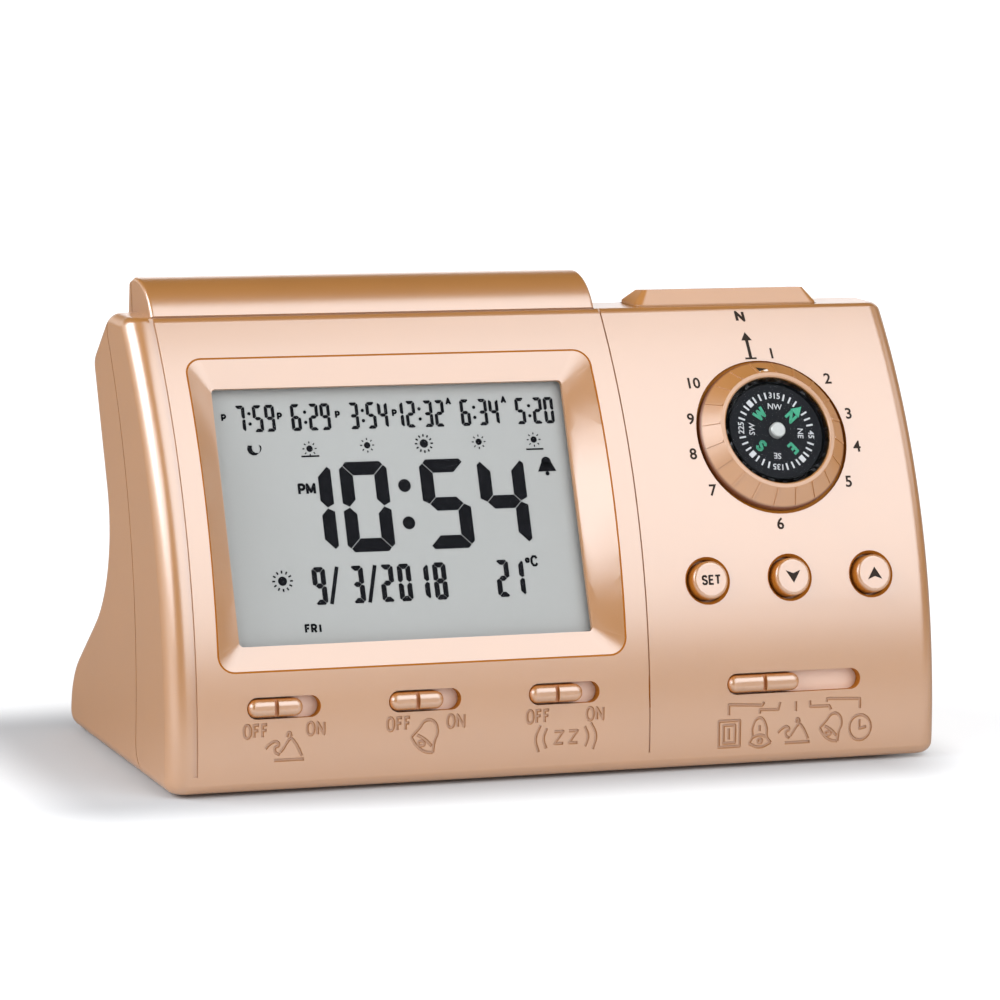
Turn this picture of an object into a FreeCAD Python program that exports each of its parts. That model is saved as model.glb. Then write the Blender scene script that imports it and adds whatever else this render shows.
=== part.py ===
import FreeCAD, Part
import math
import os

# Azan clock: a desk clock with a leaning curved face, a wide display, a compass set in a
# ten-place selector ring, three push buttons, four slide switches and a light button on top.
# All sizes are in millimetres. The case is drawn with y running back from the foot of the
# face and z up from the underside. saveNode puts each piece in the part's own frame.

# For all cutters.
lap = 0.1                   # shapes that are joined or cut run into each other by this
through = 6.0               # and cutters run on by this past what they open
farBack = 90.0

# Case.
caseWidth = 150.0
caseDepth = 61.6
wall = 2.0
faceRadius = 124.0          # the face is a cylinder about a level axis
faceAxisZ = -2.2            # height of that axis
faceCornerRadius = 3.6      # upright corners of the face
edgeRadius = 2.2            # all other outer edges
footHeight = 0.6            # the feet stand out below the underside
sideCorners = [
    ((-12.0, 0.0), 0.0),
    ((caseDepth, 0.0), 3.2),        # heel
    ((caseDepth, 9.9), 14.0),       # top of the foot
    ((35.6, 33.2), 22.0),           # waist
    ((52.0, 70.4), 3.5),            # brow
    ((43.0, 80.1), 6.5),            # back of the top
    ((-12.0, 81.5), 0.0),
]
seamPoints = [(26.3, 44.6), (42.0, 76.0)]   # the joint between the shells, above its foot
seamFoot = (20.0, 6.0)
seamTop = [(44.3, 85.5), (44.4, 100.0)]
toeFront = 8.0              # the rear shell's floor runs forward under the front shell
toeThickness = 1.0
seamShadowWidth = 0.3
seamShadowDepth = 0.5

# Raised hood over the left part of the face.
hoodLeft = -70.1
hoodRight = 15.8
hoodArc = [(31.9, 80.4), (34.9, 83.9), (43.0, 86.2)]
hoodBack = 45.1
hoodBackDrop = 0.9          # the hood's top falls this much to its back
hoodEndRadius = 0.7
hoodRoot = (38.0, 70.0)     # its profile closes inside the case
hoodWall = 1.6
creaseLean = 41.9           # the hood rises from a narrow crease at this lean of the face
creaseWidth = 0.5
creaseDepth = 0.8

# Grooves down the face.
leftGrooveX = -70.25
leftGrooveWidth = 0.9
rightGrooveX = 16.5
rightGrooveWidth = 0.3
grooveDepth = 0.3
grooveLow = 2.6             # degrees of face lean where the grooves start
rightGrooveHigh = 60.0      # and where they end

# Display.
displayX = -27.5
displayLean = 24.3
recessWidth = 77.8
recessHeight = 57.4
recessShift = (0.7, 0.15)    # of its outline from the display's middle
recessCornerRadius = 3.4
recessOvershoot = 1.15      # its walls run on past the face to this multiple of their height
recessCapHeight = 12.0
windowWidth = 67.5
windowHeight = 47.2
windowShift = (0.25, -0.2)
windowCornerRadius = 0.8
windowDepth = 4.25          # below the crest of the face
lipThickness = 0.8
lensSize = (71.0, 50.8, 0.8)
trayHalf = (41.5, 30.2)
trayBack = -6.1
trayFront = 3.0
pilotReach = 1.5            # of the lower board screws into the tray
postPilotReach = 3.8        # of the upper board screws into their posts
glassSize = (71.6, 51.8, 2.4)
holderHalf = (37.6, 28.5)
holderBack = -12.6
backlightSize = (68.0, 46.0, 2.2)
stripSize = (60.0, 1.6)
stripY = 24.6
boardThickness = 1.6
boardCorner = 1.0
mainBoardHalfWidth = 37.6
mainBoardLow = -28.4
mainBoardHigh = 33.0
boardScrewX = 34.0
boardScrewHigh = 31.0
boardScrewLow = -27.2
screwRadius = 0.8
screwHeadRadius = 1.5
screwHeadHeight = 1.2
chipSize = (14.0, 14.0, 1.4)
chipCorner = 2.0
chipPlace = (8.0, 4.0)
crystalPlace = (-14.0, -4.0)
crystalRadius = 1.5
crystalLength = 8.0
crystalLegs = (1.0, 0.2, 0.8)
sensorPlace = (-33.0, 24.0)
sensorProfile = [(0, -5.6), (0.7, -5.4), (1.3, -4.6), (1.3, -4.0), (0.6, -3.0), (0.6, 0), (0, 0)]

# Selector knob and compass, on one axis square to the face.
dialX = 45.5
dialLean = 29.3
dialPlaces = 10
knobRadius = 14.4
knobLow = -1.1
knobRimHeight = 0.1
knobTopHeight = 3.0
knobLipRadius = 11.3
knobEdge = (0.15, 0.25)     # the foot of its slope is drawn in and raised by this
knobLipEdge = (0.25, 0.1)
boreRadius = 10.4
wellRadius = 11.6
wellBottom = -5.0
wellFloor = -4.0
journalGap = 0.08
seatRadius = 15.05
seatFloor = -1.3
seatBack = -4.9
bossRadius = 17.0
ribCount = 2 * dialPlaces
ribWidth = 0.4
ribHeight = 0.18
ribSink = 0.4
ribEnds = (0.2, 0.3)
wiperRadius = 13.0
wiperThickness = 0.8
wiperFingerReach = 1.0
fingerCount = 3
fingerEnds = (5.0, 11.0)
fingerHalfWidth = 1.0
fingerThickness = 0.3
fingerTip = 1.4
dialBoardTop = -7.2
dialBoardHalf = (17.0, 16.0)
smallBoardThickness = 1.2
dialPostX = 14.5
dialPostY = 13.5
cupTop = 2.4
cupFloor = -3.2
cupWall = 0.8
windowEdge = 0.5            # the window's rim stands this far above the cup
windowDome = 1.4            # and its middle this far above its rim
windowThickness = 0.5
cardRadius = 9.2
cardThickness = 0.4
cardLow = 1.7
hubRadius = 1.45
hubTop = 3.3
pivotRadius = 0.5
pivotGap = 0.06
pivotTop = 2.9
pivotFootRadius = 1.4
pivotFootHeight = 0.6
pivotTaper = 0.4
pivotPoint = 0.5
hubPlay = 0.05              # between the pin's point and the hub
hubEdge = 0.2
magnetRadius = 3.6
magnetThickness = 1.4

# Push buttons.
buttonXs = [29.0, 45.5, 62.0]
buttonNames = ["set_button", "down_button", "up_button"]
buttonLean = 16.85
capRadius = 3.5
capHeight = 1.7
capEdgeRadius = 0.65
buttonBore = 3.9
buttonRim = 4.7             # the bore opens in a bevel to this radius
buttonRimDepth = 0.7
buttonRimLift = 0.3
flangeRadius = 4.7
flangeTop = -2.4
flangeThickness = 0.7
stemRadius = 1.0
stemEnd = -5.3
buttonTravel = 0.8
switchTop = -4.9
keyBoardTop = -8.0
keyBoardHalf = (23.5, 6.0)
keySwitchHalf = 3.0
keySwitchBore = 1.4
keySwitchCorner = 0.5
stemPlay = 0.2              # under a stem that is pressed right in
postRadius = 1.8
keyPostTop = -1.0
dialPostTop = -2.0
displayPostTop = -4.5
slidePostTop = -1.0
lightPostTop = 79.0

# Slide switches along the foot of the face.
slideLean = 8.0
slideXs = [-53.75, -27.1, -0.25]
slideNames = ["chime_slider", "alarm_slider", "snooze_slider"]
slotLength = 13.8
slotHeight = 3.9
sliderLength = 10.3
sliderHeight = 3.2
sliderProud = 1.0
sliderFlat = 0.35           # half of what its round nose leaves flat on top
slotEndGap = 0.1
sliderTravel = 3.3
modeX = 45.4
modeSlotLength = 26.9
modeSliderLength = 14.3
modeTravel = 12.2
notchWidth = 0.8
notchDepth = 0.8
notchLength = 6.0
carrierTop = -2.15
carrierThickness = 0.8
carrierHeight = 5.2
carrierLap = 0.5            # beyond each end of the slot
tongueSize = (1.6, 1.2, 1.8)
tongueWellGap = 0.4
tongueWellHeight = 2.0
tongueWellDepth = 2.2
switchBodyTop = -4.0
switchBoardTop = -8.0
switchBodyHeight = 4.4
switchBodyMargin = 4.0
switchBoardEnds = (-66.0, 66.0)
switchBoardLow = -10.0
switchBoardHigh = 2.2
switchPostXs = [-40.4, -13.7, 18.0, 64.0]
switchPostY = -7.6

# Light button on top.
padX = 43.05
padFront = 32.7
padBack = 41.2
padLength = 37.0
padCorner = 1.6
padShoulder = 80.75         # its sides stand upright to here, then lean in to its crest
padCrestFront = 83.3        # the crest falls a little to the back
padCrestBack = 82.7
padCrestCorner = 0.8
padEndSlope = 2.2
padSlope = 1.9
padGap = 0.3
padFlange = 0.8
padFlangeTop = 77.4
padFlangeBottom = 76.6
padStemBottom = 75.4
padTravel = 0.7
lightBoardTop = 72.9
lightBoardHalfDepth = 4.0
lightBoardEnds = (18.0, 69.0)
lightPostXs = [20.8, 65.8]
lightSwitchTop = 75.7

# Shell screws, from the back.
screwX = 69.0
upperScrewZ = 58.0
lowerScrewZ = 9.0
postOuter = 2.6
bossOuter = 4.3
pilotDepth = 8.0            # of the screw's hole in the front post
screwTipGap = 0.4
shankRadius = 1.2
shankClearance = 0.15
headRadius = 2.2
headHeight = 1.8
crossHalf = 1.4
crossHalfWidth = 0.3
crossDepth = 0.9
headWell = 2.5
screwFloor = 4.5            # of the rear boss, from the seam to the head

# Rear wall between waist and brow, where the speaker sits behind its grille.
speakerX = -38.0
speakerZ = 56.4
speakerRadius = 12.5
speakerRimWidth = 1.6
speakerDepth = 5.0
speakerMagnetRadius = 7.0
speakerMagnetHeight = 3.2
grilleRadius = 10.6
grilleSlotWidth = 1.4
grillePitch = 2.8
speakerRibWidth = 1.2
speakerRibHeight = 3.4
basketRim = 1.2
basketNeck = 0.6
basketWall = 1.0
basketLip = 0.8
coneDrop = 0.2
coneThickness = 0.4
coneFloorRadius = 4.5
coneFloorLift = 1.5

# Battery bay in the floor, with a door that slides off at the heel.
bayLeft = -1.0
bayRight = 55.0
cellFront = 30.2
cellPitch = 15.2
cellZ = 9.3
cellRadius = 7.1
cellLength = 49.5
cellChamfer = 0.5
troughRadius = 7.5
bayWall = 1.5
nubRadius = 2.6
nubLength = 1.0
contactThickness = 0.4
contactHalf = (5.0, 4.5)
doorLeft = -3.0
doorRight = 57.0
doorFront = 21.6
doorThickness = 1.5
doorBack = caseDepth - 8    # where its rails end
doorGap = 0.3
innerFloor = 3.4
floorLow = 0.2
floorMargin = 2.6           # the raised floor is this much wider than the door on each side
floorStart = 20.2
railWidth = 1.2
railHeight = 0.7
springCoils = 3
springWire = 0.35
springRadius = 4.6
springTaper = -8.0
gripGrooves = (57.0, 1.4, 0.5, 0.4)   # of the door: first, pitch, width, depth
gripEnds = (20.0, 34.0)

# Feet.
footRadius = 4.5
footSink = 0.4
footChamfer = 0.25
footXs = [-63.5, 64.5]
footYs = [13.2, 50.5]


def vec(x, y, z):
    return FreeCAD.Vector(x, y, z)


def box(x0, x1, y0, y1, z0, z1):
    return Part.makeBox(x1 - x0, y1 - y0, z1 - z0, vec(x0, y0, z0))


def rod(radius, z0, z1, x=0.0, y=0.0):
    return Part.makeCylinder(radius, z1 - z0, vec(x, y, z0), vec(0, 0, 1))


def rodBack(radius, x, z, y0, y1):
    return Part.makeCylinder(radius, y1 - y0, vec(x, y0, z), vec(0, 1, 0))


def joined(shapes):
    return shapes[0].multiFuse(shapes[1:]).removeSplitter()


def oneSolid(shape):
    return max(shape.Solids, key=lambda solid: solid.Volume)


def loop(corners):
    # A closed outline with straight sides. Each corner is a point and its radius.
    count = len(corners)
    spans = []
    for i, (point, radius) in enumerate(corners):
        if radius == 0:
            spans.append((point, point, None))
            continue
        back = (corners[i - 1][0] - point).normalize()
        ahead = (corners[(i + 1) % count][0] - point).normalize()
        half = back.getAngle(ahead) / 2
        reach = radius / math.tan(half)
        inward = (back + ahead).normalize()
        middle = point + inward * (radius / math.sin(half) - radius)
        spans.append((point + back * reach, point + ahead * reach, middle))
    edges = []
    for i, (start, end, middle) in enumerate(spans):
        if middle is not None:
            edges.append(Part.Arc(start, middle, end).toShape())
        following = spans[(i + 1) % count][0]
        if (following - end).Length > 1e-6:
            edges.append(Part.LineSegment(end, following).toShape())
    return Part.Wire(edges)


def plate(halfX, halfY, z0, z1, radius=0.0, x=0.0, y=0.0):
    # A level plate with rounded corners, centred on x, y.
    corners = [(-1, -1), (1, -1), (1, 1), (-1, 1)]
    outline = loop([(vec(x + sx * halfX, y + sy * halfY, z0), radius) for sx, sy in corners])
    return Part.Face(outline).extrude(vec(0, 0, z1 - z0))


def stadium(length, height, z0, z1, x=0.0):
    # A plate with half-round ends, lying along x.
    half = length / 2 - height / 2
    middle = box(x - half, x + half, -height / 2, height / 2, z0, z1)
    ends = [rod(height / 2, z0, z1, x + side * half) for side in (-1, 1)]
    return joined([middle] + ends)


def turned(profile):
    # A solid turned about the local z axis from a closed profile of (radius, height) points.
    points = [vec(radius, 0, height) for radius, height in profile]
    face = Part.Face(Part.makePolygon(points + points[:1]))
    return face.revolve(vec(0, 0, 0), vec(0, 0, 1), 360)


def facePoint(lean):
    # The point of the face, as (y, z), where it leans back by this many degrees.
    angle = math.radians(lean)
    return faceRadius - faceRadius * math.cos(angle), faceAxisZ + faceRadius * math.sin(angle)


def onFace(shape, x, lean):
    # Local x runs right, local y up the face, and local z square out of the face.
    y, z = facePoint(lean)
    placed = shape.copy()
    seat = FreeCAD.Placement(vec(x, y, z), FreeCAD.Rotation(vec(1, 0, 0), 90 - lean))
    placed.Placement = seat.multiply(placed.Placement)
    return placed


def rearWallPoint(z):
    # The point of the flat stretch of the rear wall at this height.
    (waistY, waistZ), (browY, browZ) = sideCorners[3][0], sideCorners[4][0]
    return waistY + (z - waistZ) * (browY - waistY) / (browZ - waistZ)


def onRearWall(shape, x, z):
    # Local y runs up the rear wall and local z square out of it.
    (waistY, waistZ), (browY, browZ) = sideCorners[3][0], sideCorners[4][0]
    up = vec(0, browY - waistY, browZ - waistZ).normalize()
    out = vec(0, up.z, -up.y)
    placed = shape.copy()
    turn = FreeCAD.Rotation(up.cross(out), up, out, "ZYX")
    seat = FreeCAD.Placement(vec(x, rearWallPoint(z), z), turn)
    placed.Placement = seat.multiply(placed.Placement)
    return placed


def caseSolid(inset):
    # The case without its hood, drawn in by inset. The face and its round corners are turned
    # about the face's axis, and the rest is the side outline drawn across the case.
    halfWidth = caseWidth / 2 - inset
    corner = faceCornerRadius - inset
    behind = caseDepth + 12
    section = loop([
        (vec(-halfWidth, inset, faceAxisZ), corner),
        (vec(halfWidth, inset, faceAxisZ), corner),
        (vec(halfWidth, behind, faceAxisZ), 0),
        (vec(-halfWidth, behind, faceAxisZ), 0),
    ])
    axis = vec(0, faceRadius, faceAxisZ)
    startLean = -6
    sweep = 66
    sectionFace = Part.Face(section)
    sectionFace.rotate(axis, vec(-1, 0, 0), startLean)
    front = sectionFace.revolve(axis, vec(-1, 0, 0), sweep)
    side = Part.Face(loop([(vec(-caseWidth, y, z), radius) for (y, z), radius in sideCorners]))
    if inset:
        side = side.makeOffset2D(-inset)
    solid = oneSolid(front.common(side.extrude(vec(2 * caseWidth, 0, 0))))
    if inset < edgeRadius - 1:
        solid = solid.makeFillet(edgeRadius - inset, caseEdges(solid, inset))
    return solid


def caseEdges(solid, inset):
    # The edges of both side faces and of the underside's front, but not the tangent edges
    # where the round corners of the face run into the sides.
    sideX = caseWidth / 2 - inset
    tangentRadius = faceRadius - faceCornerRadius
    found = []
    for edge in solid.Edges:
        bounds = edge.BoundBox
        onSide = bounds.XLength < 0.01 and abs(abs(bounds.XMin) - sideX) < 0.01
        isArc = edge.Curve.TypeId == "Part::GeomCircle"
        tangent = isArc and abs(edge.Curve.Radius - tangentRadius) < 0.01
        below = bounds.ZMax < inset + 0.01 and bounds.YMax < inset + faceCornerRadius + 1
        if (onSide and not tangent) or below:
            found.append(edge)
    return found


def hoodSolid(inset):
    # The hood's front is one arc that rises from a crease above the face.
    start, middle, end = [vec(hoodLeft + inset, y, z) for y, z in hoodArc]
    corner = vec(start.x, hoodBack, end.z - hoodBackDrop)
    inside = vec(start.x, hoodBack, hoodRoot[1])
    low = vec(start.x, *hoodRoot)
    edges = [
        Part.Arc(start, middle, end).toShape(),
        Part.LineSegment(end, corner).toShape(),
        Part.LineSegment(corner, inside).toShape(),
        Part.LineSegment(inside, low).toShape(),
        Part.LineSegment(low, start).toShape(),
    ]
    face = Part.Face(Part.Wire(edges))
    if inset:
        face = face.makeOffset2D(-inset)
    hood = face.extrude(vec(hoodRight - hoodLeft - 2 * inset, 0, 0))
    if inset:
        return hood
    ends = [edge for edge in hood.Edges if edge.BoundBox.XLength < 0.01 and edge.BoundBox.ZMin > start.z - 1]
    return hood.makeFillet(hoodEndRadius, ends)


def frontRegion(shift=0.0):
    # Everything in front of the seam, drawn across the case.
    x = -caseWidth
    foot = vec(x, seamFoot[0] + shift, seamFoot[1])
    knee, crown = [vec(x, y + shift, z) for y, z in seamPoints]
    tops = [vec(x, y + shift, z) for y, z in seamTop]
    bend = foot.z - toeThickness
    heel = vec(x, foot.y - bend, toeThickness)
    slant = math.radians(45)
    heelMiddle = vec(x, foot.y - bend + bend * math.sin(slant), foot.z - bend * math.cos(slant))
    toe = vec(x, toeFront, toeThickness)
    low, ahead = -20, -60
    outline = [toe, vec(x, toeFront, low), vec(x, ahead, low), vec(x, ahead, tops[1].z)]
    outline += [tops[1], tops[0], crown]
    edges = [Part.LineSegment(a, b).toShape() for a, b in zip(outline, outline[1:])]
    edges.append(Part.Arc(crown, knee, foot).toShape())
    edges.append(Part.Arc(foot, heelMiddle, heel).toShape())
    edges.append(Part.LineSegment(heel, toe).toShape())
    return Part.Face(Part.Wire(edges)).extrude(vec(2 * caseWidth, 0, 0))


def seamAt(z):
    # How far back the seam lies at this height.
    circle = Part.Arc(*[vec(0, y, h) for y, h in [seamFoot] + seamPoints]).toShape().Curve
    return circle.Center.y - math.sqrt(circle.Radius ** 2 - (z - circle.Center.z) ** 2)


def faceGroove(x, width, highLean):
    # A groove down the face, cut by a bar swung about the face's axis.
    axis = vec(0, faceRadius, faceAxisZ)
    bar = Part.makePlane(width, grooveDepth + lap, vec(x - width / 2, -lap, faceAxisZ), vec(0, 0, 1))
    bar.rotate(axis, vec(-1, 0, 0), grooveLow)
    return bar.revolve(axis, vec(-1, 0, 0), highLean - grooveLow)


def recessRing(halfX, halfY, x, y, radius, height):
    # A rounded rectangle centred on x, y, counter-clockwise from its lower right corner, where
    # height gives the z of each y. Every ring has the same four arcs and four sides.
    edges = []
    spans = []
    for i, (sx, sy) in enumerate([(1, -1), (1, 1), (-1, 1), (-1, -1)]):
        middle = vec(x + sx * (halfX - radius), y + sy * (halfY - radius), 0)
        angles = [math.radians(90 * i - 90 + turn) for turn in (0, 45, 90)]
        points = [middle + vec(math.cos(a), math.sin(a), 0) * radius for a in angles]
        spans.append([vec(point.x, point.y, height(point.y)) for point in points])
    for i, span in enumerate(spans):
        edges.append(Part.Arc(*span).toShape())
        start, end = span[-1], spans[(i + 1) % 4][0]
        middle = (start + end) / 2
        middle.z = height(middle.y)
        curved = abs(middle.z - (start.z + end.z) / 2) > 1e-6
        side = Part.Arc(start, middle, end) if curved else Part.LineSegment(start, end)
        edges.append(side.toShape())
    return edges


def recessCutter():
    # The display's recess. Its floor is flat, and its walls rise as ruled faces through an
    # outline that follows the curved face, and on to a flat cap in front of it.
    floorOutline = (windowWidth / 2, windowHeight / 2, *windowShift)
    faceOutline = (recessWidth / 2, recessHeight / 2, *recessShift)
    reached = [low + (high - low) * recessOvershoot for low, high in zip(floorOutline, faceOutline)]
    shrink = faceOutline[1] / reached[1]

    def height(y):
        yOnFace = recessShift[1] + (y - reached[3]) * shrink
        onCurve = math.sqrt(faceRadius ** 2 - yOnFace ** 2) - faceRadius
        return -windowDepth + (onCurve + windowDepth) * recessOvershoot

    floorRing = recessRing(*floorOutline, windowCornerRadius, lambda y: -windowDepth)
    faceRing = recessRing(*reached, recessCornerRadius, height)
    capRing = recessRing(*reached, recessCornerRadius, lambda y: recessCapHeight)
    faces = [Part.Face(Part.Wire(floorRing)), Part.Face(Part.Wire(capRing))]
    for low, high in [(floorRing, faceRing), (faceRing, capRing)]:
        faces += [Part.makeRuledSurface(a, b) for a, b in zip(low, high)]
    shell = Part.Shell(faces)
    shell.sewShape()
    solid = Part.Solid(shell)
    if solid.Volume < 0:
        solid.reverse()
    return solid


def displayTray():
    # The block of the front shell that carries the recess and holds the lens from behind.
    return onFace(plate(trayHalf[0], trayHalf[1], trayBack, trayFront), displayX, displayLean)


def displayOpening():
    lensTop = -windowDepth - lipThickness
    window = plate(windowWidth / 2, windowHeight / 2, lensTop - lap, 0, windowCornerRadius, *windowShift)
    seat = plate(lensSize[0] / 2, lensSize[1] / 2, trayBack - through, lensTop)
    pilots = [rod(screwRadius, trayBack - through, trayBack + pilotReach, side * boardScrewX, boardScrewLow)
              for side in (-1, 1)]
    cutter = joined([recessCutter(), window, seat] + pilots)
    return onFace(cutter, displayX, displayLean)


def dialSeat():
    return onFace(rod(bossRadius, seatBack, through), dialX, dialLean)


def dialOpening():
    seat = rod(seatRadius, seatFloor, through)
    journal = rod(wellRadius + journalGap, seatBack - through, through)
    return onFace(joined([seat, journal]), dialX, dialLean)


def buttonOpening(x):
    bore = rod(buttonBore, -through, through)
    rim = turned([(0, -buttonRimDepth), (buttonBore, -buttonRimDepth), (buttonRim, buttonRimLift),
                  (0, buttonRimLift)])
    return onFace(joined([bore, rim]), x, buttonLean)


def padOutline(grow, z0, z1):
    halfLength = padLength / 2 + grow
    halfDepth = (padBack - padFront) / 2 + grow
    return plate(halfLength, halfDepth, z0, z1, padCorner + grow, padX, (padFront + padBack) / 2)


def screwPlaces():
    return [(side * screwX, z) for side in (-1, 1) for z in (lowerScrewZ, upperScrewZ)]


def boardPosts():
    # Posts on the inside of the front shell that carry the small boards.
    posts = []
    for x in [(a + b) / 2 for a, b in zip(buttonXs, buttonXs[1:])]:
        posts.append(onFace(rod(postRadius, keyBoardTop, keyPostTop), x, buttonLean))
    for sx in (-1, 1):
        for sy in (-1, 1):
            post = rod(postRadius, dialBoardTop, dialPostTop, sx * dialPostX, sy * dialPostY)
            posts.append(onFace(post, dialX, dialLean))
        post = rod(postRadius, holderBack, displayPostTop, sx * boardScrewX, boardScrewHigh)
        posts.append(onFace(post, displayX, displayLean))
    for x in switchPostXs:
        post = rod(postRadius, switchBoardTop, slidePostTop, 0, switchPostY)
        posts.append(onFace(post, x, slideLean))
    padMiddle = (padFront + padBack) / 2
    for x in lightPostXs:
        posts.append(rod(postRadius, lightBoardTop, lightPostTop, x, padMiddle))
    return posts


def postPilots():
    pilots = []
    for sx in (-1, 1):
        tip = holderBack + postPilotReach
        pilot = rod(screwRadius, holderBack - through, tip, sx * boardScrewX, boardScrewHigh)
        pilots.append(onFace(pilot, displayX, displayLean))
    return pilots


def frontShell(outer, inner, region):
    solid = outer.cut(inner).common(region)
    solid = joined([solid, displayTray().common(outer), dialSeat().common(outer)])
    posts = [post.common(outer) for post in boardPosts()]
    for x, z in screwPlaces():
        posts.append(rodBack(postOuter, x, z, 0, seamAt(z)).common(outer))
    solid = joined([solid] + posts)
    cutters = [displayOpening(), dialOpening()]
    cutters += [buttonOpening(x) for x in buttonXs]
    cutters += [onFace(stadium(slotLength, slotHeight, -through, through), x, slideLean) for x in slideXs]
    cutters.append(onFace(stadium(modeSlotLength, slotHeight, -through, through), modeX, slideLean))
    cutters.append(padOutline(padGap, padFlangeBottom, padCrestFront))
    for x, z in screwPlaces():
        cutters.append(rodBack(shankRadius, x, z, seamAt(z) - pilotDepth, seamAt(z) + lap))
    cutters += postPilots()
    cutters.append(faceGroove(leftGrooveX, leftGrooveWidth, creaseLean))
    cutters.append(faceGroove(rightGrooveX, rightGrooveWidth, rightGrooveHigh))
    crease = box(hoodLeft, hoodRight, -creaseWidth / 2, creaseWidth / 2, -creaseDepth, through)
    cutters.append(onFace(crease, 0, creaseLean))
    for cutter in cutters:
        solid = solid.cut(cutter)
    return oneSolid(solid)


def cellYs():
    return [cellFront, cellFront + cellPitch]


def bayTroughs(radius, x0, x1, low):
    # Two round-roofed troughs side by side, open downwards.
    pieces = []
    for y in cellYs():
        pieces.append(Part.makeCylinder(radius, x1 - x0, vec(x0, y, cellZ), vec(1, 0, 0)))
        pieces.append(box(x0, x1, y - radius, y + radius, low, cellZ))
    return joined(pieces)


def doorRegion(grow, railBack):
    # The door's plate with a rail along each side.
    low = box(doorLeft - grow, doorRight + grow, doorFront - grow, farBack, -through, doorThickness + grow)
    rails = box(doorLeft - railWidth - grow, doorRight + railWidth + grow, doorFront - grow, railBack,
                doorThickness - railHeight - grow, doorThickness + grow)
    return low.fuse(rails)


def speakerGrille():
    # Level slots whose ends follow a circle.
    slots = []
    count = int(grilleRadius / grillePitch)
    for k in range(-count, count + 1):
        y = k * grillePitch
        halfLength = math.sqrt(grilleRadius ** 2 - y ** 2)
        slot = stadium(2 * halfLength, grilleSlotWidth, -wall - through, through)
        slot.translate(vec(0, y, 0))
        slots.append(slot)
    return [onRearWall(slot, speakerX, speakerZ) for slot in slots]


def rearShell(outer, inner, region):
    solid = outer.cut(inner).cut(region)
    lip = caseSolid(seamShadowDepth)
    shadow = outer.cut(lip).common(frontRegion(seamShadowWidth)).cut(region)
    solid = solid.cut(shadow)
    bay = bayTroughs(troughRadius + bayWall, bayLeft - bayWall, bayRight + bayWall, floorLow)
    raised = box(doorLeft - floorMargin, doorRight + floorMargin, floorStart, farBack, floorLow, innerFloor)
    adds = [bay.common(outer), raised.common(outer)]
    for x, z in screwPlaces():
        adds.append(rodBack(bossOuter, x, z, seamAt(z), farBack).common(outer))
    ringLow, ringHigh = -wall - speakerRibHeight, -wall / 2
    ring = rod(speakerRadius + speakerRibWidth, ringLow, ringHigh).cut(rod(speakerRadius, ringLow, ringHigh))
    adds.append(onRearWall(ring, speakerX, speakerZ).common(outer))
    solid = joined([solid] + adds)
    cutters = [bayTroughs(troughRadius, bayLeft, bayRight, -through), doorRegion(doorGap, farBack)]
    cutters += speakerGrille()
    for x, z in screwPlaces():
        cutters.append(rodBack(headWell, x, z, seamAt(z) + screwFloor, farBack))
        cutters.append(rodBack(shankRadius + shankClearance, x, z, seamAt(z) - lap, farBack))
    cutters += [rod(footRadius, -through, footSink, x, y) for x in footXs for y in footYs]
    for cutter in cutters:
        solid = solid.cut(cutter)
    return oneSolid(solid)


def batteryDoor(outer):
    door = doorRegion(0, doorBack).common(outer)
    first, pitch, width, depth = gripGrooves
    starts = (first, first + pitch)
    grip = [box(*gripEnds, start, start + width, -lap, depth) for start in starts]
    for cutter in grip:
        door = door.cut(cutter)
    return oneSolid(door)


def battery(y, direction):
    middle = (bayLeft + bayRight) / 2
    nubEnd = middle + direction * ((bayRight - bayLeft) / 2 - contactThickness)
    shoulder = nubEnd - direction * nubLength
    can = Part.makeCylinder(cellRadius, cellLength, vec(shoulder, y, cellZ), vec(-direction, 0, 0))
    can = can.makeChamfer(cellChamfer, [edge for edge in can.Edges if edge.Closed])
    nub = Part.makeCylinder(nubRadius, nubLength, vec(nubEnd, y, cellZ), vec(-direction, 0, 0))
    return joined([can, nub])


def batteryContacts():
    # A flat plate at each end of each trough.
    plates = []
    halfY, halfZ = contactHalf
    for y in cellYs():
        for x in (bayLeft, bayRight - contactThickness):
            plates.append(box(x, x + contactThickness, y - halfY, y + halfY, cellZ - halfZ, cellZ + halfZ))
    return Part.makeCompound(plates)


def batterySprings():
    # A tapered coil between a contact plate and the flat end of each battery.
    coils = []
    free = bayRight - bayLeft - 2 * contactThickness - nubLength - cellLength
    pitch = (free - 2 * springWire) / springCoils
    for y, direction in zip(cellYs(), (1, -1)):
        helix = Part.makeHelix(pitch, pitch * springCoils, springRadius, springTaper)
        start = helix.Edges[0].valueAt(helix.Edges[0].FirstParameter)
        section = Part.Wire(Part.makePolygon(hexagon(start, springWire)))
        coil = Part.Wire(helix.Edges).makePipeShell([section], True, True)
        plateFace = bayLeft + contactThickness if direction > 0 else bayRight - contactThickness
        coil.rotate(vec(0, 0, 0), vec(0, 1, 0), direction * 90)
        coil.translate(vec(plateFace + direction * springWire, y, cellZ))
        coils.append(coil)
    return Part.makeCompound(coils)


def hexagon(centre, radius):
    corners = [math.radians(60 * k) for k in range(7)]
    return [centre + vec(radius * math.cos(a), 0, radius * math.sin(a)) for a in corners]


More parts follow.
